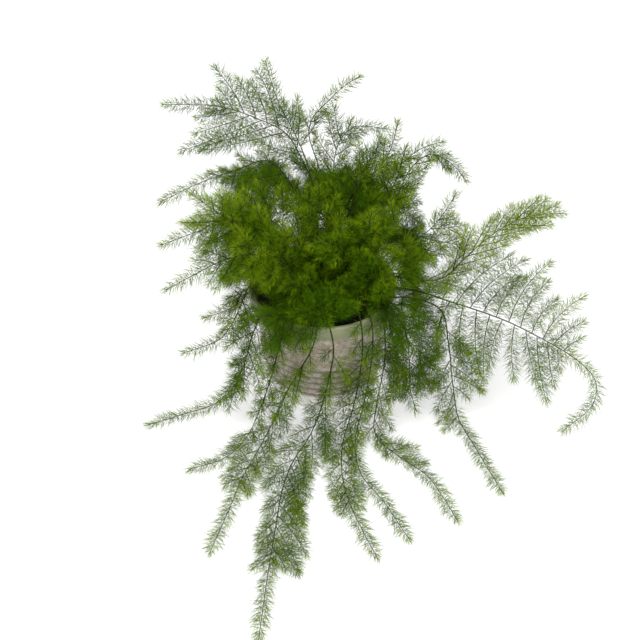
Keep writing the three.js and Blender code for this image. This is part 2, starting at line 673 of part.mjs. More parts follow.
// All stems are planned before any branchlet, and all branchlets before any needle
const stems = fronds.map(planStem);
stems.forEach((stem, i) => planBranchlets(stem, fronds[i]));
for (const stem of stems) {
  for (const branchlet of stem.branchlets) {
    const last = branchlet.stations.length - 1;
    branchlet.stations.forEach((station, k) => {
      station.turn = branchlet.turn + k * 60 * degrees;
    });
    planNeedles(branchlet, 1, () => true, (k) => needleLength * between(1, 0.7, k / last));
  }
  const taken = new Set(stem.branchlets.map((branchlet) => branchlet.host));
  const isFree = (i, edge) => stem.stations[i].share >= stem.bare && !(edge === 0 && taken.has(i));
  planNeedles(stem, 2, isFree, () => needleLength);
}

const fern = new THREE.Group();
fern.add(meshOf("pot", makePot(), potLook));
fern.add(meshOf("potting_mix", makePottingMix(), mixLook));
stems.forEach((stem, i) => fern.add(meshOf(fronds[i].name, makeFrond(stem), frondLook)));

export default fern;
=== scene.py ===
"""A potted asparagus fern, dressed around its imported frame.

The fronds grow by the same rule as the frame's own: a wiry stem along a chosen route, branchlets
on alternate sides of it, and needles all round each branchlet. Here two finer branchlets stand
between each pair of the frame's own, the crowded ones carry twigs, and all of them carry a full
coat of thin, bent needles.
"""

import math
from typing import NamedTuple

import bmesh
import bpy
import numpy as np
from bpy.props import FloatProperty, FloatVectorProperty, IntProperty, PointerProperty
from mathutils import Matrix, Vector, noise


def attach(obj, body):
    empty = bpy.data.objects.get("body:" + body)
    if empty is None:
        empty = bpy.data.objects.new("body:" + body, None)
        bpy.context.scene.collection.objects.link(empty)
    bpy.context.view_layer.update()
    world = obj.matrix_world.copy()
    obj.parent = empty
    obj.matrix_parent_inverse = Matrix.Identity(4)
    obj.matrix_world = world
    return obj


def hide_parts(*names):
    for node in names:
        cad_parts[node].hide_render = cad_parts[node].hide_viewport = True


bl_info = {
    "name": "Potted Asparagus Fern",
    "version": (1, 0, 0),
    "blender": (4, 5, 0),
    "location": "3D View > Sidebar > Fern",
    "description": "Turns the nursery pot, fills it and grows the fronds of an asparagus fern",
    "category": "Add Mesh",
}

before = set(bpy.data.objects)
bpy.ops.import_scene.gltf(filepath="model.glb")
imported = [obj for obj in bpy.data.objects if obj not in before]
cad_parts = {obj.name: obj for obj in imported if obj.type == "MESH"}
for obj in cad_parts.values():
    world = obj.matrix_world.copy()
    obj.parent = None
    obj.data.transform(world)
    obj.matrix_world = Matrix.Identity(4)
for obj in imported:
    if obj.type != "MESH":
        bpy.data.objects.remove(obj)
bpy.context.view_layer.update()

MILLIMETRE = 0.001
DEGREE = math.pi / 180
FULL_TURN = 2 * math.pi
GOLDEN_ANGLE = 137.5 * DEGREE

# The pot's driving sizes, in millimetres
POT_HEIGHT = 60
RIM_RADIUS = 37.5
RIM_LIP_WIDTH = 2
RIM_BAND_HEIGHT = 8
BAND_BOTTOM = POT_HEIGHT - RIM_BAND_HEIGHT
FOOT_RADIUS = 29
WALL_TOP_RADIUS = 35.2
PLAIN_WALL_MIDDLE = 40
WALL_THICKNESS = 1.4
FLOOR_THICKNESS = 1.6
DRAIN_HOLE_COUNT = 5
DRAIN_HOLE_RADIUS = 3
DRAIN_CIRCLE_RADIUS = 19

# Edges of the pot that turn by more than this many degrees stay sharp
SHARP_EDGE_ANGLE = 38

# The ribs round its wall, in millimetres. Every other one is a main ring, and those between are finer
FIRST_RING_HEIGHT = 9
RIB_SPACING = 4.2
RIB_COUNT = 6
RIB_HALF_HEIGHT = 1.1
RING_PROUD = 0.7
FINE_RIB_PROUD = 0.3

# The potting mix, in millimetres. It meets the wall at the filling's edge and rises to its crown
SEAT_GAP = 0.3
SOIL_TOP = 52
SOIL_CROWN = 0.5
FILLING_EDGE = BAND_BOTTOM - 1
STEM_HOLE_DEPTH = 10

# The heights between which the wall's painted shade changes: over the clear foot, over the ribs and at the
# top of the mix
FOOT_EDGE = (9.2, 10.2)
RIBBED_EDGE = (30, 32)
MIX_EDGE = (SOIL_TOP - 1, SOIL_TOP + 1.5)

# The share of its brightness that the wall loses between two ribs, as painted shade in the grooves
RIB_DARKNESS = 0.5

# The fronds' driving sizes, in millimetres. The radii are the room that each stem keeps
STEM_ROOT_RADIUS = 0.95
STEM_TIP_RADIUS = 0.45
BRANCHLET_RADIUS = 0.48
TWIG_RADIUS = 0.3
STEM_FOOT_GAP = 0.6
STEM_START_RISE = 1.2
RING_SPACING = 10
STATION_SPACING = 6.5
TWIG_SPACING = 4.5
SHORTEST_BRANCHLET = 7
SHORTEST_TWIG = 3
LONGEST_TWIG = 13
CROWDED_RADIUS = 42
CROWDED_TOP = 100
FLOOR_GAP = 0.35
NODE_GAP = 0.25

# How widely growth swings round its stem and leans off it, in degrees
SWING_SPREAD = 60
FINER_LEAN_SPREAD = 24
TWIG_SWING_SPREAD = 90
TWIG_LEAN = 50
TWIG_LEAN_SPREAD = 20

# Shares and rates: how much closer stations stand towards the tip, how far below the frame's own
# branchlets the finer ones start, the share of the lean that is left at the tip, how a frond narrows
# and its tail tapers, how a branchlet curls and droops, and the share of it that carries twigs
TIP_CROWDING = 0.25
LOWER_START = 0.13
TIP_LEAN_SHARE = 0.75
NARROWING = 0.45
TAIL_TAPER = 1.6
BRANCHLET_CURL = 0.5
BRANCHLET_DROOP = 0.008
TWIGGED_SHARE = 0.78

# The least length and the swing of a finer branchlet beside the frame's own, and the length of one
# that stands on the bare share of its stem beside one that doesn't
FINER_SHORTEST = 0.6
FINER_SWING = 1.5
LOWER_LENGTH = 0.6

# The stems as they are seen: radii at the foot and tip and steps along them in millimetres, and
# faces round them
FINE_STEM_RADII = (0.45, 0.15)
FINE_BRANCHLET_RADII = (0.26, 0.12)
FINE_TWIG_RADII = (0.17, 0.12)
STEM_SIDES = 6
BRANCHLET_SIDES = 4
PATH_STEP = 2.5

# Needles this near to a tip, in millimetres, close round it and are shorter
TIP_REACH = 7

# The lean of needles off their branchlet, in degrees, and their bend at foot and tip, in radians
LEAN_AT_TIP = 22
FULL_LEAN = 66
LEAN_SPREAD = 16
FOOT_BEND = 0.3
TIP_BEND = -0.25

# A needle is a foot, a ring of three vertices where it is widest, and a tip. The ring is laid out
# from a way that needles seldom take
NEEDLE_VERTICES = 5
NEEDLE_TRIANGLES = ((0, 2, 1), (0, 3, 2), (0, 1, 3), (1, 2, 4), (2, 3, 4), (3, 1, 4))
WIDEST_SHARE = 0.33
SELDOM_TAKEN_WAY = (0.31, 0.17, 0.93)

# The shares of its length that a needle is tried at, and the room that it needs, in millimetres
NEEDLE_FITS = (1, 0.7, 0.45)
NEEDLE_ROOM = 0.05

# What is added to a frond's seed for the draws of its finer branchlets and of its twigs
FINER_SEED_STEP = 500
TWIG_SEED_STEP = 900

# A branchlet is tried swung aside by these degrees, and then at these shares of its length
SWING_TRIES = (0, 25, -25, 50, -50, 75, -75, 105, -105)
LENGTH_TRIES = (1, 0.75, 0.5, 0.32)

# The test for room, in millimetres. A branchlet leaves its own stem at its start, which isn't tested
CELL_SIZE = 3
SAMPLE_STEP = 1
SAMPLE_SLACK = 0.5
UNTESTED_START = 3
NEIGHBOURS = [(x, y, z) for x in (-1, 0, 1) for y in (-1, 0, 1) for z in (-1, 0, 1)]

# The directions that a frond's flat spray can face
FRONT = (0, -0.7, 0.7)
UP = (0, 0, 1)
BACK = (0, 0.6, 0.8)
LEFT = (-0.7, 0, 0.7)
RIGHT = (0.7, 0, 0.7)


class Frond(NamedTuple):
    """What is chosen for each frond, in millimetres and degrees.

    node is its node in the frame, base its stem's place in the mix, reach how long its branchlets
    grow on the left and right of its way, route the places that its stem passes and youth how
    bright its green is, from 0 to 1. faces is the way that its flat spray looks, lean how far its
    branchlets lean off the stem on either side, tip_lean the same near the tip, bare the share of
    the stem without full branchlets, tail the length on either side that carries needles alone,
    and bushy is whether all its branchlets have twigs.
    """

    node: str
    seed: int
    base: tuple
    reach: tuple
    youth: float
    route: tuple
    faces: tuple = FRONT
    lean: tuple = (62, 62)
    tip_lean: tuple = None
    bare: float = 0.16
    tail: tuple = (8, 8)
    bushy: bool = False


FRONDS = (
    # Top
    Frond("frond_top_left", seed=11, base=(-4, 7), reach=(38, 28), lean=(48, 56), bare=0.56,
          tail=(26, 26), youth=0.42,
          route=((-4, 16, 104), (-10, 22, 118), (-18, 29, 129), (-31, 34, 134), (-51, 40, 138),
                 (-79, 44, 137))),
    Frond("frond_top_fan", seed=42, base=(-2, 11.5), reach=(11, 8), lean=(60, 60), bare=0.6,
          tail=(22, 22), youth=0.45,
          route=((-5, 22, 104), (-10, 29, 119), (-16, 34, 131), (-21, 37, 140), (-24, 40, 147),
                 (-26, 43, 153), (-28, 45, 160))),
    Frond("frond_top_arch", seed=12, base=(2, 10), reach=(6, 8), lean=(58, 58), bare=0.62,
          tail=(30, 24), youth=0.45,
          route=((3, 17, 94), (-2, 26, 112), (-7, 33, 127), (-5, 36, 134), (3, 39, 142), (11, 41, 149),
                 (18, 42, 153))),
    Frond("frond_top_plume", seed=44, base=(0, 6), reach=(18, 12), lean=(60, 60), bare=0.35,
          tail=(16, 16), youth=0.4,
          route=((4, 12, 92), (5, 21, 107), (6, 29, 118), (10, 35, 125), (16, 38, 128), (24, 40, 127),
                 (32, 41, 125))),
    # Left
    Frond("frond_left_upper", seed=13, base=(-9, 5), reach=(20, 6), bare=0.35, tail=(30, 22), youth=0.5,
          route=((-11, 8, 94), (-17, 13, 113), (-27, 13, 123), (-40, 9, 121), (-59, 4, 116),
                 (-78, 0, 108))),
    Frond("frond_left_bright", seed=14, base=(-12, -5), reach=(26, 20), lean=(60, 60), bare=0.2,
          tail=(10, 10), youth=0.68,
          route=((-18, -10, 80), (-33, -17, 99), (-48, -20, 114), (-60, -22, 126))),
    Frond("frond_left_middle", seed=15, base=(-12, 0), reach=(20, 20), bare=0.2, tail=(18, 18), youth=0.58,
          route=((-13, -3, 84), (-26, -6, 102), (-43, -9, 105), (-61, -13, 99), (-77, -16, 94))),
    Frond("frond_left_low", seed=16, base=(-13, -10), reach=(19, 18), bare=0.2, tail=(21, 21), youth=0.58,
          route=((-17, -15, 78), (-31, -21, 92), (-46, -27, 93), (-61, -31, 87), (-74, -33, 80))),
    Frond("frond_left_small", seed=45, base=(-17, -6), reach=(7, 4), bare=0.3, tail=(24, 24),
          youth=0.6, bushy=True,
          route=((-25, -9, 68), (-33, -10, 67), (-38, -11, 61), (-42, -12, 56), (-49, -14, 53),
                 (-60, -15, 49))),
    Frond("frond_left_droop", seed=17, base=(-17, -1), reach=(16, 8), bare=0.2, tail=(26, 26),
          youth=0.55, bushy=True,
          route=((-26, -5, 64), (-35, -7, 65), (-40, -10, 57), (-45, -13, 46), (-52, -15, 36),
                 (-62, -16, 31), (-72, -17, 28))),
    # Over the rim at the front, and along the surface
    Frond("frond_front_left", seed=18, base=(-7, -15), reach=(16, 14), faces=UP, lean=(52, 66), bare=0.3,
          tail=(40, 40), youth=0.6,
          route=((-3, -31, 66), (-3, -40, 63), (-5, -45, 55), (-12, -46, 40), (-20, -47, 23),
                 (-26, -50, 8), (-31, -58, 2.4), (-39, -80, 2), (-44, -100, 2), (-51, -126, 2))),
    Frond("frond_front_side", seed=19, base=(-12, -15), reach=(20, 16), faces=UP, tail=(50, 50), youth=0.55,
          route=((-22, -25, 66), (-29, -31, 64), (-34, -35, 55), (-38, -36, 40), (-45, -34, 20),
                 (-55, -32, 7), (-72, -35, 2), (-89, -43, 2))),
    Frond("frond_front_middle", seed=20, base=(-1, -17), reach=(30, 14), faces=UP, lean=(52, 52), bare=0.3,
          tail=(40, 40), youth=0.6,
          route=((1, -31, 66), (3, -40, 64), (5, -45, 54), (3, -47, 38), (-1, -50, 20), (-7, -56, 6),
                 (-14, -67, 2.2), (-19, -85, 2), (-22, -112, 2), (-25, -145, 2), (-27, -172, 2))),
    Frond("frond_front_inner", seed=43, base=(3, -14), reach=(14, 14), faces=UP, lean=(56, 56), bare=0.3,
          tail=(30, 30), youth=0.6,
          route=((16, -29, 66), (18, -36, 63), (19, -41, 54), (18, -43, 36), (15, -47, 18),
                 (10, -57, 4.5), (9, -72, 2), (11, -90, 2), (17, -110, 2), (24, -128, 2))),
    Frond("frond_front_right", seed=21, base=(7, -16), reach=(5, 10), faces=UP, lean=(60, 60), bare=0.22,
          tail=(56, 56), youth=0.6,
          route=((20, -26, 66), (23, -33, 63), (24, -38, 54), (23, -41, 36), (20, -46, 18),
                 (16, -56, 4.5), (18, -76, 2), (29, -96, 2), (39, -118, 2))),
    Frond("frond_right_front", seed=22, base=(11, -13), reach=(14, 8), faces=UP, bare=0.14,
          tail=(40, 46), youth=0.6,
          route=((24, -22, 66), (28, -30, 63), (30, -34, 54), (30, -37, 36), (27, -42, 16),
                 (26, -51, 4), (37, -65, 2), (50, -78, 2), (57, -93, 2), (62, -107, 2))),
    # Right
    Frond("frond_right_droop", seed=23, base=(14, -9), reach=(20, 16), lean=(62, 66), bare=0.38,
          tail=(62, 44), youth=0.6,
          route=((34, -20, 66), (47, -26, 69), (57, -28, 64), (62, -30, 44), (66, -32, 18),
                 (69, -40, 4), (75, -57, 2), (85, -89, 2))),
    Frond("frond_right_arch", seed=24, base=(14, -3), reach=(36, 32), lean=(82, 94), tip_lean=(104, 60),
          bare=0.29, tail=(52, 55), youth=0.65,
          route=((30, -9, 64), (45, -13, 65), (61, -16, 61), (88, -19, 52), (103, -21, 45),
                 (129, -26, 30), (138, -31, 21), (136, -40, 14), (119, -53, 7))),
    Frond("frond_right_upper", seed=25, base=(14, 3), reach=(19, 22), lean=(36, 34), bare=0.33,
          tail=(6, 14), youth=0.95,
          route=((24, -1, 63), (36, -4, 67), (48, -5, 65), (60, -5, 67), (70, -4, 78), (78, -2, 86),
                 (88, 2, 92), (101, 6, 96), (119, 9, 96))),
    Frond("frond_right_tall", seed=46, base=(10, 0), reach=(6, 24), lean=(56, 56), bare=0.36, tail=(12, 12),
          youth=0.6, bushy=True,
          route=((22, 2, 68), (36, 3, 78), (50, 5, 86), (59, 8, 96), (65, 10, 107))),
    # Back
    Frond("frond_back_right", seed=26, base=(11, 9), reach=(5, 12), lean=(60, 60), bare=0.38,
          tail=(14, 14), youth=0.5,
          route=((24, 14, 74), (31, 17, 90), (37, 20, 100), (44, 26, 112), (53, 30, 117),
                 (64, 32, 111), (73, 33, 100))),
    Frond("frond_back_right_tall", seed=27, base=(7, 13), reach=(4, 6), lean=(60, 60), bare=0.5,
          tail=(12, 12), youth=0.5,
          route=((18, 17, 78), (29, 25, 97), (39, 30, 111), (49, 34, 118), (60, 36, 121))),
    Frond("frond_back_middle", seed=28, base=(1, 15), reach=(20, 20), lean=(60, 60), bare=0.3,
          tail=(16, 16), youth=0.45,
          route=((10, 22, 86), (17, 28, 98), (26, 31, 106), (32, 34, 113), (35, 36, 121), (37, 38, 131))),
    # The crown
    Frond("frond_crown_arch", seed=29, base=(-4, -4), reach=(18, 18), lean=(66, 66), youth=0.5,
          route=((3, -2, 81), (0, 0, 97), (-8, 1, 108), (-18, 0, 110))),
    Frond("frond_crown_low", seed=30, base=(0, -9), reach=(16, 16), lean=(66, 66), youth=0.45,
          route=((11, -9, 74), (9, -13, 89), (2, -16, 96), (-6, -19, 94))),
    Frond("frond_crown_middle", seed=31, base=(4, -5), reach=(18, 18), lean=(66, 66), youth=0.5,
          route=((16, -5, 75), (20, -8, 89), (22, -10, 101), (23, -11, 110))),
    Frond("frond_crown_right", seed=32, base=(9, -4), reach=(16, 5), lean=(66, 66), youth=0.45,
          route=((26, -3, 74), (32, -4, 88), (34, -5, 99), (32, -5, 111))),
    Frond("frond_crown_tall", seed=33, base=(4, 4), reach=(20, 20), lean=(66, 66), tail=(10, 10), youth=0.4,
          route=((12, 8, 84), (15, 14, 102), (20, 17, 116), (29, 20, 131))),
    Frond("frond_crown_bright", seed=34, base=(9, 4), reach=(18, 14), lean=(66, 66), bare=0.45,
          tail=(10, 10), youth=0.55,
          route=((22, 7, 79), (30, 12, 97), (36, 16, 112), (40, 18, 128))),
    Frond("frond_crown_front", seed=35, base=(-5, -10), reach=(15, 15), lean=(66, 66), youth=0.4,
          route=((-6, -19, 64), (-8, -25, 73), (-13, -29, 79), (-20, -32, 80))),
    Frond("frond_crown_side", seed=36, base=(13, -17), reach=(14, 14), lean=(66, 66),
          youth=0.35, bushy=True,
          route=((18, -19, 68), (25, -20, 77), (31, -20, 85), (36, -18, 91))),
    Frond("frond_crown_edge", seed=52, base=(13, -6), reach=(16, 14), lean=(66, 66), youth=0.35, bushy=True,
          route=((28, -10, 70), (37, -13, 75), (45, -15, 75), (51, -16, 71))),
    # Behind and at the far sides, falling over the rim
    Frond("frond_back_left_fall", seed=37, base=(-9, 14), reach=(26, 26), faces=BACK,
          tail=(30, 30), youth=0.4,
          route=((-15, 30, 84), (-24, 48, 92), (-34, 68, 84), (-43, 88, 62), (-50, 104, 34),
                 (-54, 114, 10), (-60, 128, 2))),
    Frond("frond_back_fall", seed=38, base=(-3, 16), reach=(26, 26), faces=BACK, tail=(30, 30), youth=0.45,
          route=((-2, 34, 79), (3, 54, 88), (8, 74, 78), (13, 90, 54), (17, 100, 26), (20, 110, 5),
                 (24, 128, 2))),
    Frond("frond_back_right_fall", seed=39, base=(5, 18), reach=(26, 16), faces=BACK,
          tail=(30, 30), youth=0.5,
          route=((16, 32, 76), (28, 50, 81), (40, 68, 71), (48, 82, 47), (52, 90, 20), (56, 99, 3),
                 (60, 113, 2))),
    Frond("frond_left_fall", seed=40, base=(-16, 6), reach=(22, 22), faces=LEFT, tail=(26, 26), youth=0.4,
          route=((-28, 22, 73), (-38, 38, 73), (-46, 54, 55), (-50, 66, 28), (-54, 74, 6), (-58, 86, 2))),
    Frond("frond_right_fall", seed=41, base=(15, 10), reach=(22, 22), faces=RIGHT, tail=(26, 26), youth=0.4,
          route=((28, 22, 72), (37, 29, 72), (44, 37, 60), (49, 43, 40), (53, 49, 18), (56, 56, 4),
                 (60, 66, 2))),
    # Low over the rim
    Frond("frond_right_low", seed=47, base=(16, -13), reach=(24, 24), lean=(66, 66), bare=0.1,
          youth=0.35, bushy=True,
          route=((29, -21, 66), (37, -26, 62), (41, -30, 50), (43, -33, 34), (44, -36, 20),
                 (47, -41, 10))),
    Frond("frond_rim_left", seed=48, base=(-4, -20), reach=(18, 20), faces=UP, bare=0.1, tail=(6, 6),
          youth=0.32, bushy=True,
          route=((-8, -27, 63), (-12, -34, 68), (-17, -40, 68), (-23, -45, 62), (-28, -48, 54))),
    Frond("frond_rim_middle", seed=51, base=(1, -20.5), reach=(16, 18), faces=UP, lean=(64, 64), bare=0.1,
          tail=(6, 6), youth=0.3, bushy=True,
          route=((2, -27, 64), (1, -34, 69), (-3, -41, 70), (-9, -47, 65), (-14, -50, 57))),
    Frond("frond_front_low", seed=50, base=(-9, -12), reach=(8, 9), faces=UP, bare=0.25,
          tail=(26, 26), youth=0.55,
          route=((-14, -30, 66), (-18, -36, 63), (-21, -41, 53), (-25, -43, 36), (-31, -46, 17),
                 (-38, -54, 4.5), (-48, -66, 2), (-65, -74, 2))),
    Frond("frond_crown_rim", seed=49, base=(-2, -13), reach=(12, 12), lean=(70, 70), bare=0.1,
          youth=0.25, bushy=True,
          route=((-1, -20, 63), (3, -25, 67), (9, -29, 69), (16, -31, 69))),
)


def length_property(name, description, default):
    return FloatProperty(name=name, description=description, default=default, unit="LENGTH")


def power_property(name, description, default):
    return FloatProperty(name=name, description=description, default=default, unit="POWER")


def colour_property(name, description, default):
    return FloatVectorProperty(
        name=name, description=description, default=default, size=3, min=0, max=1, subtype="COLOR")


class FernPotSettings(bpy.types.PropertyGroup):
    """The nursery pot's fineness and finish, with the colours of its painted shade"""

    facets: IntProperty(name="Facets", description="Faces round the pot", default=144, min=24)
    plastic: colour_property(
        "Plastic", "Milky plastic where nothing dark stands behind it", (0.90, 0.88, 0.84))
    # Shaded plastic is painted shade, the milky plastic darkened where the dark mix stands behind the wall
    shaded_plastic: colour_property(
        "Shaded plastic", "The same plastic where the dark mix shows through it", (0.36, 0.265, 0.175))
    # The rim's colour is painted shade, the plastic dimmed where the dim inside of the rim shows through it
    shaded_rim_plastic: colour_property(
        "Rim plastic", "The same plastic where the dim inside of the rim shows through it",
        (0.25, 0.27, 0.15))


class FernMixSettings(bpy.types.PropertyGroup):
    """The potting mix's crumbs and colours"""

    crumb_count: IntProperty(name="Crumbs", description="Loose crumbs on the mix", default=620, min=0)
    crumb_radius: length_property(
        "Crumb radius", "Half the width of a middling crumb", 0.85 * MILLIMETRE)
    peat: colour_property("Peat", "Colour of the damp peat", (0.012, 0.011, 0.007))
    bark: colour_property("Bark", "Colour of the paler crumbs of bark", (0.055, 0.038, 0.02))


class FernFrondSettings(bpy.types.PropertyGroup):
    """The needles' sizes and the fronds' greens"""

    needle_length: length_property("Needle length", "Length of a full-grown needle", 8.2 * MILLIMETRE)
    needle_width: length_property("Needle width", "Width of a needle at its widest", 0.26 * MILLIMETRE)
    needle_spacing: length_property(
        "Needle spacing", "Way along a branchlet from one needle to the next", 0.125 * MILLIMETRE)
    old_green: colour_property("Old green", "Colour of the oldest needles", (0.025, 0.080, 0.001))
    full_green: colour_property("Full green", "Colour of full-grown needles", (0.070, 0.152, 0.001))
    young_green: colour_property("Young green", "Colour of the youngest needles", (0.23, 0.34, 0.008))
    stem_green: colour_property("Stem green", "Colour of the wiry stems", (0.030, 0.040, 0.010))


class FernStageSettings(bpy.types.PropertyGroup):
    """The camera, floor and lights"""

    camera_height_angle: FloatProperty(
        name="Looking down", description="Angle that the camera looks down by",
        default=38 * DEGREE, subtype="ANGLE")
    camera_distance: length_property(
        "Camera distance", "From the camera to the middle of the view", 0.56)
    camera_aim: FloatVectorProperty(
        name="Camera aim", description="The middle of the view",
        default=(-0.0015, 0, 0.0362), size=3, subtype="XYZ", unit="LENGTH")
    view_width: length_property("View width", "Width of the view at the camera's aim", 0.3328)
    floor_width: length_property("Floor width", "Width of the pale floor", 8)
    key_power: power_property("Key light", "Strength of the large light above", 14)
    fill_power: power_property("Fill light", "Strength of the light beside the camera", 5)
    sky_strength: FloatProperty(
        name="Sky", description="Strength of the even light all round", default=0.75)


# Growth

def cross(first, second):
    """The cross product of two single vectors, for which numpy's own is slow."""
    return np.array((
        first[1] * second[2] - first[2] * second[1],
        first[2] * second[0] - first[0] * second[2],
        first[0] * second[1] - first[1] * second[0],
    ))


def unit(way):
    return way / math.sqrt(way @ way)


def mix(start, end, share):
    return start + (end - start) * share


def wall_radius_at(height):
    """The pot's outer wall between its foot and the underside of the rim band."""
    return mix(FOOT_RADIUS, WALL_TOP_RADIUS, height / BAND_BOTTOM)


def seeded_draw(seed):
    """A draw from 0 to 1, the same on every run."""
    state = seed * 7919

    def draw():
        nonlocal state
        state = (state * 1664525 + 1013904223) % 4294967296
        return state / 4294967296

    return draw


class Station:
    """A place on a stem or branchlet: its middle, the way on, and the two ways square to it."""

    def __init__(self, middle, ahead, faces, radius, share=0.0):
        self.middle = middle
        self.ahead = ahead
        self.side = unit(cross(faces, ahead))
        self.up = unit(cross(ahead, self.side))
        self.radius = radius
        self.share = share


class Route:
    """A smooth curve through points, a centripetal Catmull-Rom spline, measured by its length."""

    divisions = 200

    def __init__(self, points):
        points = np.array(points, float)
        before = 2 * points[0] - points[1]
        after = 2 * points[-1] - points[-2]
        self.points = np.vstack((before, points, after))
        self.steps = np.linspace(0, 1, self.divisions + 1)
        run = np.linalg.norm(np.diff(self.at(self.steps), axis=0), axis=1)
        self.lengths = np.concatenate(([0], np.cumsum(run)))
        self.length = self.lengths[-1]

    def at(self, steps):
        spans = len(self.points) - 3
        place = np.atleast_1d(steps) * spans
        span = np.minimum(place.astype(int), spans - 1)
        weight = (place - span)[:, None]
        p0, p1, p2, p3 = (self.points[span + k] for k in range(4))
        d0, d1, d2 = (
            np.linalg.norm(b - a, axis=1)[:, None] ** 0.5 for a, b in ((p0, p1), (p1, p2), (p2, p3))
        )
        start = ((p1 - p0) / d0 - (p2 - p0) / (d0 + d1) + (p2 - p1) / d1) * d1
        end = ((p2 - p1) / d1 - (p3 - p1) / (d1 + d2) + (p3 - p2) / d2) * d1
        square = weight ** 2
        cube = weight ** 3
        return (
            p1 + start * weight
            + (-3 * p1 + 3 * p2 - 2 * start - end) * square
            + (2 * p1 - 2 * p2 + start + end) * cube
        )

    def point_at(self, share):
        step = np.interp(share * self.length, self.lengths, self.steps)
        return self.at(step)[0]

    def tangent_at(self, share):
        step = np.interp(share * self.length, self.lengths, self.steps)
        ends = self.at(np.array((max(step - 0.0001, 0), min(step + 0.0001, 1))))
        return unit(ends[1] - ends[0])


def samples_along(start, end, skipped):
    """Places at even steps from a run of skipped millimetres on, and the end."""
    length = math.sqrt((end - start) @ (end - start))
    runs = np.arange(skipped, length + 1e-12, SAMPLE_STEP)[:, None]
    return np.vstack((start + (end - start) * (runs / length), end))


def cells_of(samples):
    """The cell of the grid that each sample is in."""
    return np.floor(samples / CELL_SIZE).astype(int).tolist()


class GrownSpace:
    """What is already grown, as balls in a grid of cells, so that later growth stays clear of it."""

    def __init__(self):
        self.cells = {}

    def add(self, samples, radius, owner):
        for point, (x, y, z) in zip(samples.tolist(), cells_of(samples)):
            for right, back, above in NEIGHBOURS:
                self.cells.setdefault((x + right, y + back, z + above), []).append((point, radius, owner))

    def is_free(self, samples, radius, owner):
        for point, cell in zip(samples.tolist(), cells_of(samples)):
            for other, other_radius, other_owner in self.cells.get(tuple(cell), ()):
                reach = radius + other_radius + NODE_GAP
                if other_owner != owner and math.dist(point, other) ** 2 < reach ** 2 + SAMPLE_SLACK:
                    return False
        return True


def meets_pot(points, radius):
    """Which of the points are in the floor, the pot or the mix."""
    room = radius + NODE_GAP
    height = points[:, 2]
    from_axis = np.hypot(points[:, 0], points[:, 1])
    over_lip = height > POT_HEIGHT + room
    in_mouth = from_axis < RIM_RADIUS - RIM_LIP_WIDTH - room
    over_mix = (height > SOIL_TOP + SOIL_CROWN + room) & in_mouth
    outer = np.where(height > BAND_BOTTOM - room, RIM_RADIUS, wall_radius_at(height) + RING_PROUD)
    return (height < FLOOR_GAP + radius) | ~(over_lip | over_mix | (from_axis > outer + room))


def closer_to_tip(share):
    """Stations stand closer together towards the tip."""
    return share + TIP_CROWDING * share * (1 - share)


def side_by_turns(number):
    """Growth stands by turns on the left, 1, and the right, -1."""
    return 1 if number % 2 == 1 else -1


class Stem:
    """A frond's stem: its route, the stations of the frame's own stem, and its branchlets."""

    def __init__(self, frond, grown):
        x, y = frond.base
        self.frond = frond
        self.faces = np.array(frond.faces, float)
        self.foot = np.array((x, y, SOIL_TOP - STEM_HOLE_DEPTH + STEM_FOOT_GAP))
        self.route = Route([(x, y, SOIL_TOP + STEM_START_RISE), *frond.route])
        self.count = int(self.route.length / RING_SPACING + 0.5)
        self.branchlets = []
        below = self.foot
        for place in range(self.count + 1):
            station = self.station(place)
            grown.add(samples_along(below, station.middle, 0), station.radius, frond.node)
            below = station.middle

    def station(self, place):
        share = closer_to_tip(place / self.count)
        radius = mix(STEM_ROOT_RADIUS, STEM_TIP_RADIUS, share)
        return Station(self.route.point_at(share), self.route.tangent_at(share), self.faces, radius, share)


class Branchlet(NamedTuple):
    """A branchlet or twig: its points, the share of the stem that it leaves at and its own plane."""

    points: np.ndarray
    share: float
    plane: np.ndarray
    is_twig: bool


def full_length_of(stem, side, share, grown_share):
    """A branchlet's length: longest near the frond's start, and nothing where the tail begins."""
    in_frond = stem.frond.reach[side] * (1 - NARROWING * grown_share ** 2)
    before_tail = TAIL_TAPER * (stem.route.length * (1 - share) - stem.frond.tail[side])
    return min(in_frond, before_tail)


class Sprout(NamedTuple):
    """What is to grow from a station: its full length, its side of the stem, how far it swings
    round the stem in degrees and leans off it in radians, whose it is, the least length that is
    worth growing, and its radius."""

    station: Station
    length: float
    sign: int
    swing: float
    lean: float
    owner: str
    shortest: float
    radius: float


def sprout_points(sprout, length, aside):
    """A sprout's points at a length. It curls towards the stem's own way and droops under its weight."""
    station = sprout.station
    swing = (sprout.swing + aside) * DEGREE
    outward = station.side * (sprout.sign * math.cos(swing)) + station.up * math.sin(swing)
    start = station.ahead * math.cos(sprout.lean) + outward * math.sin(sprout.lean)
    count = max(2, int(length / STATION_SPACING + 0.5))
    stride = length / count
    points = [station.middle + outward * (0.5 * station.radius)]
    for i in range(1, count + 1):
        share = i / count
        way = start + station.ahead * (BRANCHLET_CURL * share)
        way[2] -= BRANCHLET_DROOP * share * length
        point = points[-1] + unit(way) * stride
        point[2] = max(point[2], FLOOR_GAP + 2 * BRANCHLET_RADIUS)
        points.append(point)
    return np.array(points)


def clear_points(grown, sprout):
    """A sprout's points where it has room. One that would cross other growth is swung aside, then
    shortened, or left out."""
    for shorter in LENGTH_TRIES:
        length = sprout.length * shorter
        if length <= sprout.shortest:
            break
        for aside in SWING_TRIES:
            points = sprout_points(sprout, length, aside)
            samples = np.vstack([
                samples_along(points[k - 1], points[k], UNTESTED_START if k == 1 else 0)
                for k in range(1, len(points))
            ])
            if meets_pot(samples, sprout.radius).any():
                continue
            if grown.is_free(samples, sprout.radius, sprout.owner):
                grown.add(samples, sprout.radius, sprout.owner)
                return points
    return None


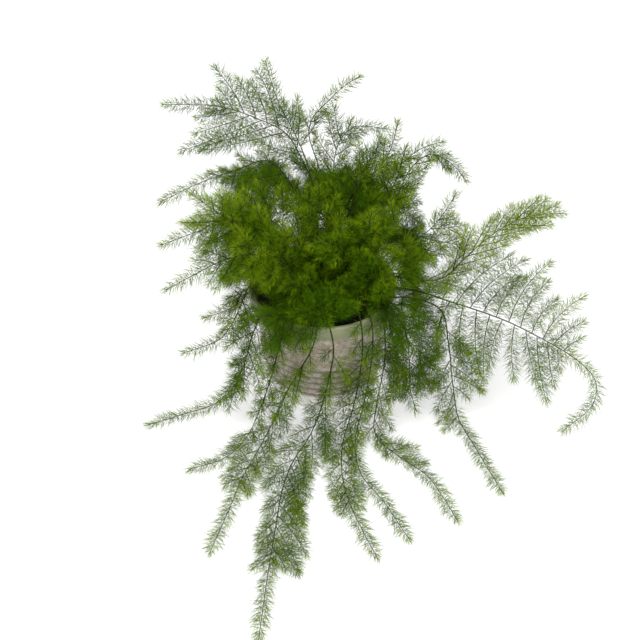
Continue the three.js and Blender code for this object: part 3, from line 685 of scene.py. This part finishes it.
def grow_branchlet(grown, stem, draw, place, sign, is_frame_own):
    """A branchlet of the frame's own, or one of the finer ones that stand between those."""
    frond = stem.frond
    station = stem.station(place)
    swing = (draw() - 0.5) * SWING_SPREAD
    vigour = 0.85 + 0.3 * draw()
    bend = draw() - 0.5
    lowest = frond.bare if is_frame_own else frond.bare - LOWER_START
    if station.share < lowest:
        return
    grown_share = max(0, (station.share - frond.bare) / (1 - frond.bare))
    side = 0 if sign > 0 else 1
    length = vigour * full_length_of(stem, side, station.share, grown_share)
    if station.share < frond.bare:
        length *= LOWER_LENGTH
    tip_lean = frond.tip_lean[side] if frond.tip_lean else TIP_LEAN_SHARE * frond.lean[side]
    lean = mix(frond.lean[side], tip_lean, grown_share) * DEGREE
    owner = f"{frond.node} {place}"
    if is_frame_own:
        sprout = Sprout(station, length, sign, swing, lean, owner, SHORTEST_BRANCHLET, BRANCHLET_RADIUS)
    else:
        lean += bend * FINER_LEAN_SPREAD * DEGREE
        shortest = FINER_SHORTEST * SHORTEST_BRANCHLET
        sprout = Sprout(station, length, sign, FINER_SWING * swing, lean, owner, shortest, TWIG_RADIUS)
    points = clear_points(grown, sprout)
    if points is not None:
        stem.branchlets.append(Branchlet(points, station.share, station.up, False))


def grow_twigs(grown, stem, branchlet, draw, number):
    """Twigs stand on alternate sides of a branchlet, between its foot and its last quarter."""
    route = Route(branchlet.points)
    for k in range(1, int(TWIGGED_SHARE * route.length / TWIG_SPACING) + 1):
        along = (k - 0.3 + 0.5 * (draw() - 0.5)) * TWIG_SPACING / route.length
        ahead = route.tangent_at(along)
        station = Station(route.point_at(along), ahead, branchlet.plane, TWIG_RADIUS, branchlet.share)
        length = min(LONGEST_TWIG, 0.6 * (1 - along) * route.length) * (0.75 + 0.5 * draw())
        swing = (draw() - 0.5) * TWIG_SWING_SPREAD
        lean = (TWIG_LEAN + TWIG_LEAN_SPREAD * (draw() - 0.5)) * DEGREE
        owner = f"{stem.frond.node} {number} twig {k}"
        sprout = Sprout(station, length, side_by_turns(k), swing, lean, owner, SHORTEST_TWIG, TWIG_RADIUS)
        points = clear_points(grown, sprout)
        if points is not None:
            stem.branchlets.append(Branchlet(points, branchlet.share, station.up, True))


def is_crowded(point):
    """Whether a branchlet starts in the dense crown over the pot."""
    x, y, z = point
    return math.hypot(x, y) < CROWDED_RADIUS and POT_HEIGHT < z < CROWDED_TOP


def plan_fronds():
    """All stems first, then the frame's own branchlets, then two finer ones between each pair of
    them, and then the twigs of the crowded and bushy ones."""
    grown = GrownSpace()
    stems = [Stem(frond, grown) for frond in FRONDS]
    for stem in stems:
        draw = seeded_draw(stem.frond.seed)
        for place in range(1, stem.count):
            grow_branchlet(grown, stem, draw, place, side_by_turns(place), True)
    for stem in stems:
        draw = seeded_draw(stem.frond.seed + FINER_SEED_STEP)
        for place in range(stem.count):
            sign = side_by_turns(place)
            grow_branchlet(grown, stem, draw, place + 1 / 3, -sign, False)
            grow_branchlet(grown, stem, draw, place + 2 / 3, sign, False)
    for stem in stems:
        draw = seeded_draw(stem.frond.seed + TWIG_SEED_STEP)
        for number, branchlet in enumerate(list(stem.branchlets)):
            if stem.frond.bushy or is_crowded(branchlet.points[0]):
                grow_twigs(grown, stem, branchlet, draw, number)
    return stems


# Mesh making

def mesh_of(name, vertices, faces):
    """A smooth mesh from vertices in metres and groups of faces, each group with like corner counts."""
    mesh = bpy.data.meshes.new(name)
    corners = np.concatenate([group.ravel() for group in faces])
    sizes = np.concatenate([np.full(len(group), group.shape[1]) for group in faces])
    mesh.vertices.add(len(vertices))
    mesh.vertices.foreach_set("co", vertices.astype(np.float32).ravel())
    mesh.loops.add(len(corners))
    mesh.loops.foreach_set("vertex_index", corners.astype(np.int32))
    mesh.polygons.add(len(sizes))
    mesh.polygons.foreach_set("loop_start", (np.cumsum(sizes) - sizes).astype(np.int32))
    mesh.update(calc_edges=True)
    mesh.validate()
    mesh.shade_smooth()
    return mesh


def add_object(name, mesh, material):
    piece = bpy.data.objects.new(name, mesh)
    bpy.context.scene.collection.objects.link(piece)
    mesh.materials.append(material)
    return piece


def quads_between_rings(rings, sides):
    """Faces between rings of vertices that follow each other, each with as many sides."""
    ring = np.arange(sides)
    following = np.roll(ring, -1)
    lower = (np.arange(rings - 1) * sides)[:, None]
    corners = (lower + ring, lower + following, lower + sides + following, lower + sides + ring)
    return np.stack(corners, axis=-1).reshape(-1, 4)


class Growth:
    """Vertices and faces that gather into one mesh, with how woody and young each place is and
    how bright it is beside its neighbours."""

    def __init__(self):
        self.vertices = []
        self.faces = []
        self.marks = []
        self.total = 0

    def add(self, vertices, faces, wood, youth, shade):
        self.vertices.append(vertices)
        self.faces.extend(group + self.total for group in faces)
        count = len(vertices)
        marks = [np.broadcast_to(mark, count) for mark in (wood, youth, shade)]
        self.marks.append(np.column_stack(marks))
        self.total += count

    def mesh(self, name):
        mesh = mesh_of(name, np.vstack(self.vertices) * MILLIMETRE, self.faces)
        marks = np.vstack(self.marks)
        for column, mark in enumerate(("wood", "youth", "shade")):
            attribute = mesh.attributes.new(mark, "FLOAT", "POINT")
            attribute.data.foreach_set("value", marks[:, column].astype(np.float32))
        return mesh


def each_unit(ways):
    return ways / np.linalg.norm(ways, axis=1)[:, None]


class Path:
    """A finely stepped path with a frame of two square ways at any run along it."""

    def __init__(self, points, plane):
        route = Route(points)
        count = max(3, int(route.length / PATH_STEP + 0.5))
        self.length = route.length
        self.runs = np.linspace(0, route.length, count + 1)
        self.points = route.at(np.interp(self.runs, route.lengths, route.steps))
        self.ahead = each_unit(np.gradient(self.points, axis=0))
        self.plane = plane

    def at(self, runs):
        points = np.column_stack([np.interp(runs, self.runs, self.points[:, k]) for k in range(3)])
        ahead = each_unit(np.column_stack([np.interp(runs, self.runs, self.ahead[:, k]) for k in range(3)]))
        side = each_unit(np.cross(self.plane, ahead))
        return points, ahead, side, np.cross(ahead, side)


def add_tube(growth, path, radii, sides, youth):
    """A round, closed tube along a path, with a radius at its foot and one at its tip."""
    middles, _, side, up = path.at(path.runs)
    turn = np.arange(sides) * (FULL_TURN / sides)
    radius = mix(*radii, path.runs / path.length)[:, None, None]
    outward = side[:, None] * np.cos(turn)[:, None] + up[:, None] * np.sin(turn)[:, None]
    vertices = (middles[:, None] + outward * radius).reshape(-1, 3)
    ring = np.arange(sides)
    foot = ring[None, ::-1]
    tip = ring[None, :] + (len(middles) - 1) * sides
    growth.add(vertices, [quads_between_rings(len(middles), sides), foot, tip], 1.0, youth, 0.5)


def add_needles(growth, path, settings, random, first_run, youth):
    """Needles in a spiral along a path. They lean further forward and grow shorter towards its tip."""
    spacing = settings.needle_spacing / MILLIMETRE
    count = max(3, int((path.length - first_run) / spacing))
    turns = np.arange(count)
    runs = path.length - (turns + random.uniform(0, 1, count)) * spacing
    runs = np.clip(runs, 0.3, path.length - 0.05)
    roots, ahead, side, up = path.at(runs)
    azimuth = turns * GOLDEN_ANGLE + random.normal(0, 0.5, count)
    outward = side * np.cos(azimuth)[:, None] + up * np.sin(azimuth)[:, None]
    aside = np.cross(ahead, outward) * random.normal(0, 0.5, count)[:, None]
    from_tip = np.clip((path.length - runs) / TIP_REACH, 0, 1)
    usual_lean = mix(LEAN_AT_TIP, FULL_LEAN, from_tip ** 0.6)
    lean = (usual_lean + random.normal(0, LEAN_SPREAD, count)) * DEGREE
    lengths = settings.needle_length / MILLIMETRE * mix(0.6, 1, from_tip)
    lengths *= random.uniform(0.6, 1.15, count) * mix(0.8, 1, np.clip(runs / 4, 0, 1))
    foot_ways = leaning(ahead, outward, lean + FOOT_BEND)
    tip_ways = each_unit(leaning(ahead, outward, lean + TIP_BEND) + aside)
    radius = settings.needle_width / MILLIMETRE / 2
    vertices, kept = needle_vertices(roots, foot_ways, tip_ways, lengths, radius)
    if not kept.any():
        return
    young = youth + 0.2 * (1 - from_tip) + 0.1 * (runs / path.length - 0.5)
    young = np.clip(young + random.normal(0, 0.06, count), 0, 1)
    shade = random.uniform(0, 1, count)
    growth.add(
        vertices, [needle_faces(kept.sum())], 0.0,
        np.repeat(young[kept], NEEDLE_VERTICES), np.repeat(shade[kept], NEEDLE_VERTICES))


def leaning(ahead, outward, lean):
    return ahead * np.cos(lean)[:, None] + outward * np.sin(lean)[:, None]


def needle_faces(count):
    pattern = np.array(NEEDLE_TRIANGLES)
    return (np.arange(count)[:, None, None] * NEEDLE_VERTICES + pattern).reshape(-1, 3)


def off_the_floor(starts, ways, lengths):
    """Turns a way that would end under the floor until it ends on it."""
    lowest = -(starts[:, 2] - FLOOR_GAP - 0.1) / lengths
    lifted = np.clip(np.maximum(ways[:, 2], lowest), -1, 1)
    level = np.linalg.norm(ways[:, :2], axis=1)
    scaled = ways[:, :2] * (np.sqrt(1 - lifted ** 2) / np.maximum(level, 1e-6))[:, None]
    return np.column_stack((scaled, lifted))


def needle_line(roots, foot_ways, tip_ways, lengths):
    """The middles and tips of needles that bend where they are widest."""
    first = lengths * WIDEST_SHARE
    rest = lengths - first
    middles = roots + off_the_floor(roots, foot_ways, first) * first[:, None]
    tips = middles + off_the_floor(middles, tip_ways, rest) * rest[:, None]
    return middles, tips


def needle_vertices(roots, foot_ways, tip_ways, lengths, radius):
    """The needles' vertices, and which needles have room. One that meets the pot is shorter or left out."""
    fits = np.zeros(len(roots))
    for share in reversed(NEEDLE_FITS):
        middles, tips = needle_line(roots, foot_ways, tip_ways, lengths * share)
        fits[~(meets_pot(middles, NEEDLE_ROOM) | meets_pot(tips, NEEDLE_ROOM))] = share
    kept = fits > 0
    roots, foot_ways = roots[kept], foot_ways[kept]
    middles, tips = needle_line(roots, foot_ways, tip_ways[kept], (lengths * fits)[kept])
    side = each_unit(np.cross(foot_ways, SELDOM_TAKEN_WAY))
    up = np.cross(foot_ways, side)
    ring = [middles + (side * math.cos(turn) + up * math.sin(turn)) * radius
            for turn in (0, 120 * DEGREE, 240 * DEGREE)]
    return np.stack((roots, *ring, tips), axis=1).reshape(-1, 3), kept


# Materials

def new_material(name, roughness, specular):
    material = bpy.data.materials.new(name)
    material.use_nodes = True
    tree = material.node_tree
    tree.nodes.clear()
    output = tree.nodes.new("ShaderNodeOutputMaterial")
    shader = tree.nodes.new("ShaderNodeBsdfPrincipled")
    shader.inputs["Roughness"].default_value = roughness
    shader.inputs["Specular IOR Level"].default_value = specular
    tree.links.new(shader.outputs["BSDF"], output.inputs["Surface"])
    return material, tree, shader


def set_socket(tree, socket, value):
    """Links the socket where the value is a socket too, and otherwise sets it."""
    if isinstance(value, bpy.types.NodeSocket):
        tree.links.new(value, socket)
    elif socket.type == "RGBA":
        socket.default_value = (*value, 1)
    else:
        socket.default_value = value


def add_node(tree, kind, options=None, inputs=None):
    node = tree.nodes.new(kind)
    for name, value in (options or {}).items():
        setattr(node, name, value)
    for name, value in (inputs or {}).items():
        set_socket(tree, node.inputs[name], value)
    return node


def calculate(tree, operation, first, second=0.0):
    node = add_node(tree, "ShaderNodeMath", {"operation": operation}, {0: first, 1: second})
    return node.outputs[0]


def place_in_metres(tree):
    return add_node(tree, "ShaderNodeTexCoord").outputs["Object"]


def height_in_metres(tree):
    split = add_node(tree, "ShaderNodeSeparateXYZ", inputs={"Vector": place_in_metres(tree)})
    return split.outputs["Z"]


def noise_of(tree, scale, detail=3.0, roughness=0.5):
    """Noise whose scale is patches in a metre."""
    inputs = {"Vector": place_in_metres(tree), "Scale": scale, "Detail": detail, "Roughness": roughness}
    return add_node(tree, "ShaderNodeTexNoise", inputs=inputs).outputs["Fac"]


def remap(tree, value, low, high, to_low, to_high):
    inputs = {"Value": value, "From Min": low, "From Max": high, "To Min": to_low, "To Max": to_high}
    return add_node(tree, "ShaderNodeMapRange", inputs=inputs).outputs["Result"]


def patches(tree, scale, low, high, detail=3.0):
    """Noise that runs from low to high."""
    return remap(tree, noise_of(tree, scale, detail), 0.3, 0.7, low, high)


def rising(tree, height, edge):
    """From 0 to 1 between the two heights of an edge."""
    return remap(tree, height, edge[0] * MILLIMETRE, edge[1] * MILLIMETRE, 0.0, 1.0)


def mix_colours(tree, share, first, second):
    """Its sockets are numbered, because those for numbers, vectors and colours share their names."""
    node = add_node(tree, "ShaderNodeMix", {"data_type": "RGBA"}, {0: share, 6: first, 7: second})
    return node.outputs[2]


def scaled(tree, colour, scale):
    node = add_node(tree, "ShaderNodeVectorMath", {"operation": "SCALE"}, {0: colour, "Scale": scale})
    return node.outputs[0]


def finish_shader(tree, shader, colour, roughness, relief, depth):
    """Puts a colour, a roughness and the bump of a relief of some depth on the shader."""
    bump = add_node(tree, "ShaderNodeBump", inputs={"Height": relief, "Strength": 1.0, "Distance": depth})
    tree.links.new(colour, shader.inputs["Base Color"])
    tree.links.new(roughness, shader.inputs["Roughness"])
    tree.links.new(bump.outputs["Normal"], shader.inputs["Normal"])


def attribute_of(tree, name):
    return add_node(tree, "ShaderNodeAttribute", {"attribute_name": name}).outputs["Fac"]


def frond_material(settings):
    """Wiry stems and needles that turn from deep green to yellow green where they are young."""
    material, tree, shader = new_material("fern_green", 0.65, 0.03)
    youth = calculate(tree, "ADD", attribute_of(tree, "youth"), patches(tree, 90, -0.2, 0.2))
    older = remap(tree, youth, 0.0, 0.5, 0.0, 1.0)
    younger = remap(tree, youth, 0.5, 1.0, 0.0, 1.0)
    green = mix_colours(tree, older, settings.old_green, settings.full_green)
    green = mix_colours(tree, younger, green, settings.young_green)
    green = scaled(tree, green, remap(tree, attribute_of(tree, "shade"), 0.0, 1.0, 0.72, 1.22))
    colour = mix_colours(tree, attribute_of(tree, "wood"), green, settings.stem_green)
    roughness = patches(tree, 700, 0.42, 0.62)
    finish_shader(tree, shader, colour, roughness, noise_of(tree, 1800, 4.0), 0.05 * MILLIMETRE)
    return material


def rib_shade(tree, height, above_foot):
    """Painted shade: darker between the ribs of the wall, and even on the foot and above the ribs."""
    from_rib = calculate(tree, "SUBTRACT", height, FIRST_RING_HEIGHT * MILLIMETRE)
    turn = calculate(tree, "MULTIPLY", from_rib, FULL_TURN / (RIB_SPACING * MILLIMETRE))
    painted_groove_shade = remap(tree, calculate(tree, "COSINE", turn), -1.0, 0.2, RIB_DARKNESS, 0.0)
    below_top = calculate(tree, "SUBTRACT", 1.0, rising(tree, height, RIBBED_EDGE))
    ribbed = calculate(tree, "MULTIPLY", above_foot, below_top)
    return calculate(tree, "SUBTRACT", 1.0, calculate(tree, "MULTIPLY", painted_groove_shade, ribbed))


def pot_material(settings):
    """Milky plastic with painted shade: darker where the mix stands behind it, dim over the rim and darker
    between the ribs, with faint mould marks.
    """
    material, tree, shader = new_material("milky_pot_plastic", 0.35, 0.5)
    height = height_in_metres(tree)
    above_foot = rising(tree, height, FOOT_EDGE)
    above_mix = rising(tree, height, MIX_EDGE)
    # Painted shade of the mix seen through the wall above the clear foot, patchy where its crumbs lie
    # against it
    crumbs = remap(tree, noise_of(tree, 420, 5.0, 0.62), 0.34, 0.66, 0.45, 1.0)
    painted_shade_of_mix = calculate(tree, "MULTIPLY", above_foot, crumbs)
    colour = mix_colours(tree, painted_shade_of_mix, settings.plastic, settings.shaded_plastic)
    # Painted shade over the rim band, above the top of the mix
    colour = mix_colours(tree, above_mix, colour, settings.shaded_rim_plastic)
    # Painted shade between the ribs
    colour = scaled(tree, colour, rib_shade(tree, height, above_foot))
    roughness = patches(tree, 160, 0.28, 0.46)
    finish_shader(tree, shader, colour, roughness, noise_of(tree, 900), 0.06 * MILLIMETRE)
    return material


def mix_material(settings):
    """Damp peat with paler crumbs of bark."""
    material, tree, shader = new_material("dark_potting_mix", 0.9, 0.25)
    barky = remap(tree, noise_of(tree, 330, 4.0, 0.6), 0.48, 0.66, 0.0, 1.0)
    colour = mix_colours(tree, barky, settings.peat, settings.bark)
    roughness = patches(tree, 500, 0.7, 0.98)
    finish_shader(tree, shader, colour, roughness, noise_of(tree, 1500, 5.0, 0.7), 0.25 * MILLIMETRE)
    return material


def floor_material():
    """Pale, faintly grained and glowing a little, so that it stays even around the plant's shadow."""
    material, tree, shader = new_material("pale_floor", 0.75, 0.2)
    grain = patches(tree, 25, 0.0, 1.0, 4.0)
    colour = mix_colours(tree, grain, (0.48, 0.48, 0.48), (0.5, 0.5, 0.5))
    tree.links.new(colour, shader.inputs["Base Color"])
    shader.inputs["Emission Color"].default_value = (1, 1, 1, 1)
    shader.inputs["Emission Strength"].default_value = 0.55
    return material


# Pieces

def lathe(name, profile, facets):
    """A closed mesh from a profile of (radius, height) in millimetres that starts and ends on the axis."""
    turn = np.arange(facets) * (FULL_TURN / facets)
    inner = np.array(profile[1:-1], float)
    x = inner[:, :1] * np.cos(turn)
    y = inner[:, :1] * np.sin(turn)
    z = np.broadcast_to(inner[:, 1:], x.shape)
    rings = np.stack((x, y, z), axis=-1).reshape(-1, 3)
    ends = np.array(((0, 0, profile[0][1]), (0, 0, profile[-1][1])))
    vertices = np.vstack((rings, ends)) * MILLIMETRE
    first_ring = np.arange(facets)
    last_ring = first_ring + (len(inner) - 1) * facets
    first_end = np.full(facets, len(rings))
    start = np.column_stack((np.roll(first_ring, -1), first_ring, first_end))
    end = np.column_stack((last_ring, np.roll(last_ring, -1), first_end + 1))
    return mesh_of(name, vertices, [quads_between_rings(len(inner), facets), start, end])


def rounded(centre, radius, first_angle, last_angle, steps=6):
    """Profile points on an arc, with angles in degrees from straight outward."""
    angles = [mix(first_angle, last_angle, i / steps) * DEGREE for i in range(steps + 1)]
    return [(centre[0] + radius * math.cos(a), centre[1] + radius * math.sin(a)) for a in angles]


def ribbed_wall():
    """The wall's outer profile over its ribs, which are rounded from their lower to upper edges."""
    wall = []
    for number in range(RIB_COUNT):
        proud = RING_PROUD if number % 2 == 0 else FINE_RIB_PROUD
        for step in np.linspace(-1, 1, 9):
            height = FIRST_RING_HEIGHT + number * RIB_SPACING + step * RIB_HALF_HEIGHT
            wall.append((wall_radius_at(height) + proud * math.cos(step * math.pi / 2) ** 1.5, height))
    return wall


def pot_profile():
    """From the middle of its underside, up the outside, over the lip and down to its floor."""
    lip_inside = RIM_RADIUS - RIM_LIP_WIDTH
    inner_top = wall_radius_at(BAND_BOTTOM) - WALL_THICKNESS
    inner_foot = wall_radius_at(FLOOR_THICKNESS) - WALL_THICKNESS
    return [
        (0, 0),
        (FOOT_RADIUS * 0.5, 0),
        (FOOT_RADIUS - 2.2, 0),
        *rounded((FOOT_RADIUS - 1, 1), 1, -90, -10),
        *ribbed_wall(),
        (wall_radius_at(PLAIN_WALL_MIDDLE), PLAIN_WALL_MIDDLE),
        (WALL_TOP_RADIUS, BAND_BOTTOM - 0.4),
        (WALL_TOP_RADIUS + 0.2, BAND_BOTTOM),
        *rounded((RIM_RADIUS - 0.5, BAND_BOTTOM + 0.5), 0.5, -90, 0, 4),
        *rounded((RIM_RADIUS - 0.9, POT_HEIGHT - 0.9), 0.9, 0, 90),
        *rounded((lip_inside + 0.6, POT_HEIGHT - 0.6), 0.6, 90, 180, 4),
        (inner_top + 0.5, BAND_BOTTOM + 1),
        (inner_top, BAND_BOTTOM - 1),
        (mix(inner_foot, inner_top, 0.5), mix(FLOOR_THICKNESS, BAND_BOTTOM, 0.5)),
        (inner_foot, FLOOR_THICKNESS + 0.8),
        (inner_foot - 0.8, FLOOR_THICKNESS),
        (0, FLOOR_THICKNESS),
    ]


def cut_drain_holes(pot):
    plugs = bmesh.new()
    radius = DRAIN_HOLE_RADIUS * MILLIMETRE
    for number in range(DRAIN_HOLE_COUNT):
        turn = number * FULL_TURN / DRAIN_HOLE_COUNT
        middle = Vector((math.cos(turn), math.sin(turn), 0)) * (DRAIN_CIRCLE_RADIUS * MILLIMETRE)
        bmesh.ops.create_cone(
            plugs, cap_ends=True, segments=32, radius1=radius, radius2=radius,
            depth=6 * FLOOR_THICKNESS * MILLIMETRE, matrix=Matrix.Translation(middle))
    mesh = bpy.data.meshes.new("drain_hole_plugs")
    plugs.to_mesh(mesh)
    plugs.free()
    cutter = bpy.data.objects.new("drain_hole_plugs", mesh)
    bpy.context.scene.collection.objects.link(cutter)
    cut = pot.modifiers.new("drain_holes", "BOOLEAN")
    cut.operation = "DIFFERENCE"
    cut.object = cutter
    apply_modifiers(pot)
    bpy.data.objects.remove(cutter)


def apply_modifiers(piece):
    """Puts what the modifiers make into the piece's own mesh."""
    bpy.context.view_layer.update()
    made = piece.evaluated_get(bpy.context.evaluated_depsgraph_get())
    piece.data = bpy.data.meshes.new_from_object(made)
    piece.modifiers.clear()


def make_pot(settings):
    mesh = lathe("nursery_pot", pot_profile(), settings.facets)
    pot = add_object("nursery_pot", mesh, pot_material(settings))
    cut_drain_holes(pot)
    pot.data.shade_smooth()
    pot.data.set_sharp_from_angle(angle=SHARP_EDGE_ANGLE * DEGREE)
    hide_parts("pot")
    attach(pot, "root")


def crumbly(x, y):
    """How far the top of the mix stands above its even dome, in millimetres."""
    coarse = noise.fractal(Vector((x * 0.16, y * 0.16, 3.1)), 0.8, 2.1, 4)
    fine = noise.fractal(Vector((x * 0.7, y * 0.7, 8.4)), 0.7, 2.0, 3)
    return 0.45 * coarse + 0.3 * fine


def dome_height(share):
    """The even top of the mix at a share of the way from the pot's axis to its wall."""
    return SOIL_TOP + SOIL_CROWN * (1 - share ** 2)


def filling_reach(height):
    """How far the mix reaches from the pot's axis."""
    return wall_radius_at(height) - WALL_THICKNESS - SEAT_GAP


def filling_mesh():
    """The filling, from its flat foot up the inside of the pot to its crumbly top."""
    foot = FLOOR_THICKNESS + SEAT_GAP
    reach = filling_reach(FILLING_EDGE)
    side = [(filling_reach(height), height) for height in np.linspace(foot, FILLING_EDGE, 9)]
    top = [(reach * share, dome_height(share)) for share in np.linspace(0.985, 0.02, 42)]
    profile = [(0, foot), (filling_reach(foot) * 0.6, foot), *side, *top, (0, dome_height(0))]
    mesh = lathe("potting_mix_fill", profile, 96)
    for vertex in mesh.vertices:
        x, y, z = vertex.co / MILLIMETRE
        if z > SOIL_TOP - 0.01:
            vertex.co.z += crumbly(x, y) * MILLIMETRE
    return mesh


def crumb_shape():
    shape = bmesh.new()
    bmesh.ops.create_icosphere(shape, subdivisions=2, radius=1)
    vertices = np.array([vertex.co for vertex in shape.verts])
    faces = np.array([[vertex.index for vertex in face.verts] for face in shape.faces])
    shape.free()
    return vertices, faces


def loose_crumbs(settings, random):
    """Crumbs of peat and bark half sunk in the mix, each of its own uneven shape."""
    shape, pattern = crumb_shape()
    reach = filling_reach(FILLING_EDGE)
    vertices = []
    faces = []
    for number in range(settings.crumb_count):
        radius = settings.crumb_radius / MILLIMETRE * random.uniform(0.45, 1.5)
        stretch = random.uniform((0.8, 0.6, 0.5), (1.7, 1.1, 0.8))
        distance = (reach - 1.7) * math.sqrt(random.uniform(0, 1))
        turn = random.uniform(0, FULL_TURN)
        x = distance * math.cos(turn)
        y = distance * math.sin(turn)
        lumps = 1 + random.normal(0, 0.13, len(shape))
        tilt = Matrix.Rotation(random.uniform(0, FULL_TURN), 3, "Z")
        tilt = tilt @ Matrix.Rotation(random.uniform(-0.5, 0.5), 3, "X")
        crumb = (shape * lumps[:, None] * stretch * radius) @ np.array(tilt).T
        vertices.append(crumb + (x, y, dome_height(distance / reach) + crumbly(x, y)))
        faces.append(pattern + number * len(shape))
    return np.vstack(vertices) * MILLIMETRE, np.vstack(faces)


def make_potting_mix(settings):
    filling = filling_mesh()
    body = np.array([vertex.co for vertex in filling.vertices])
    triangles, quads = (
        np.array([list(face.vertices) for face in filling.polygons if len(face.vertices) == corners])
        for corners in (3, 4)
    )
    crumbs, crumb_faces = loose_crumbs(settings, np.random.default_rng(5))
    faces = [triangles, quads, crumb_faces + len(body)]
    mesh = mesh_of("potting_mix_fill", np.vstack((body, crumbs)), faces)
    fill = add_object("potting_mix_fill", mesh, mix_material(settings))
    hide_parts("potting_mix")
    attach(fill, "root")


def make_frond(stem, settings, material):
    frond = stem.frond
    random = np.random.default_rng(frond.seed)
    growth = Growth()
    path = Path([stem.foot, *stem.route.points[1:-1]], stem.faces)
    add_tube(growth, path, FINE_STEM_RADII, STEM_SIDES, frond.youth)
    first_needle = min(0.75 * path.length, path.length - 1.3 * frond.tail[1])
    add_needles(growth, path, settings, random, first_needle, frond.youth + 0.1)
    for branchlet in stem.branchlets:
        path = Path(branchlet.points, branchlet.plane)
        youth = frond.youth + 0.3 * (branchlet.share - 0.55) + random.normal(0, 0.07)
        radii = FINE_TWIG_RADII if branchlet.is_twig else FINE_BRANCHLET_RADII
        add_tube(growth, path, radii, BRANCHLET_SIDES, youth)
        add_needles(growth, path, settings, random, 0.8, youth)
    piece = add_object("fine_" + frond.node, growth.mesh("fine_" + frond.node), material)
    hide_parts(frond.node)
    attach(piece, "root")


# Stage

def aimed_at(place, aim):
    """The turn of a camera or light that stands at a place and looks at an aim."""
    return (Vector(aim) - Vector(place)).to_track_quat("-Z", "Y").to_euler()


def make_camera(settings):
    angle = settings.camera_height_angle
    back = Vector((0, -math.cos(angle), math.sin(angle))) * settings.camera_distance
    camera = bpy.data.cameras.new("camera")
    camera.sensor_width = 36
    camera.lens = camera.sensor_width * settings.camera_distance / settings.view_width
    camera.clip_start = 0.02
    holder = bpy.data.objects.new("camera", camera)
    holder.location = Vector(settings.camera_aim) + back
    holder.rotation_euler = aimed_at(holder.location, settings.camera_aim)
    bpy.context.scene.collection.objects.link(holder)
    bpy.context.scene.camera = holder


def make_light(name, place, aim, width, power):
    light = bpy.data.lights.new(name, "AREA")
    light.shape = "DISK"
    light.size = width
    light.energy = power
    holder = bpy.data.objects.new(name, light)
    holder.location = place
    holder.rotation_euler = aimed_at(place, aim)
    bpy.context.scene.collection.objects.link(holder)


def make_floor(settings):
    half = settings.floor_width / 2
    corners = np.array(((-half, -half, 0), (half, -half, 0), (half, half, 0), (-half, half, 0)))
    mesh = mesh_of("floor", corners, [np.array(((0, 1, 2, 3),))])
    floor = add_object("floor", mesh, floor_material())


def make_lights(settings):
    """A large light above and a weaker one beside the camera, with places and widths in metres."""
    middle = (0, 0, POT_HEIGHT * MILLIMETRE)
    make_light("key_light", (-0.35, -0.45, 1.3), middle, 0.9, settings.key_power)
    make_light("fill_light", (0.5, -0.9, 0.6), middle, 0.7, settings.fill_power)


def make_sky(settings):
    world = bpy.data.worlds.new("even_sky")
    world.use_nodes = True
    background = world.node_tree.nodes["Background"]
    background.inputs["Color"].default_value = (1, 1, 1, 1)
    background.inputs["Strength"].default_value = settings.sky_strength
    bpy.context.scene.world = world


# Operators

class FERN_OT_make_pot(bpy.types.Operator):
    """Turn the milky nursery pot and cut its drain holes"""

    bl_idname = "fern.make_pot"
    bl_label = "Make Pot"

    def execute(self, context):
        make_pot(context.scene.fern_pot)
        return {"FINISHED"}


class FERN_OT_make_potting_mix(bpy.types.Operator):
    """Fill the pot with crumbly potting mix"""

    bl_idname = "fern.make_potting_mix"
    bl_label = "Make Potting Mix"

    def execute(self, context):
        make_potting_mix(context.scene.fern_mix)
        return {"FINISHED"}


class FERN_OT_grow_fronds(bpy.types.Operator):
    """Grow every frond with its branchlets and needles"""

    bl_idname = "fern.grow_fronds"
    bl_label = "Grow Fronds"

    def execute(self, context):
        settings = context.scene.fern_frond
        material = frond_material(settings)
        for stem in plan_fronds():
            make_frond(stem, settings, material)
        return {"FINISHED"}


class FERN_OT_set_stage(bpy.types.Operator):
    """Set up the camera, the pale floor and the soft lights"""

    bl_idname = "fern.set_stage"
    bl_label = "Set Stage"

    def execute(self, context):
        settings = context.scene.fern_stage
        make_camera(settings)
        make_floor(settings)
        make_sky(settings)
        make_lights(settings)
        context.scene.view_settings.view_transform = "Standard"
        return {"FINISHED"}


class FERN_PT_panel(bpy.types.Panel):
    """The fern's sizes, colours and making"""

    bl_idname = "FERN_PT_panel"
    bl_label = "Potted Asparagus Fern"
    bl_space_type = "VIEW_3D"
    bl_region_type = "UI"
    bl_category = "Fern"

    def draw(self, context):
        for group, operator in GROUPS:
            settings = getattr(context.scene, group)
            box = self.layout.box()
            for name in settings.__annotations__:
                box.prop(settings, name)
            box.operator(operator.bl_idname)


GROUPS = (
    ("fern_stage", FERN_OT_set_stage),
    ("fern_pot", FERN_OT_make_pot),
    ("fern_mix", FERN_OT_make_potting_mix),
    ("fern_frond", FERN_OT_grow_fronds),
)
SETTINGS = {
    "fern_pot": FernPotSettings,
    "fern_mix": FernMixSettings,
    "fern_frond": FernFrondSettings,
    "fern_stage": FernStageSettings,
}
CLASSES = (*SETTINGS.values(), *(operator for _, operator in GROUPS), FERN_PT_panel)


def register():
    for each in CLASSES:
        bpy.utils.register_class(each)
    for name, group in SETTINGS.items():
        setattr(bpy.types.Scene, name, PointerProperty(type=group))


def unregister():
    for name in SETTINGS:
        delattr(bpy.types.Scene, name)
    for each in reversed(CLASSES):
        bpy.utils.unregister_class(each)


def main():
    register()
    bpy.ops.fern.set_stage()
    bpy.ops.fern.make_pot()
    bpy.ops.fern.make_potting_mix()
    bpy.ops.fern.grow_fronds()


if __name__ == "__main__":
    main()
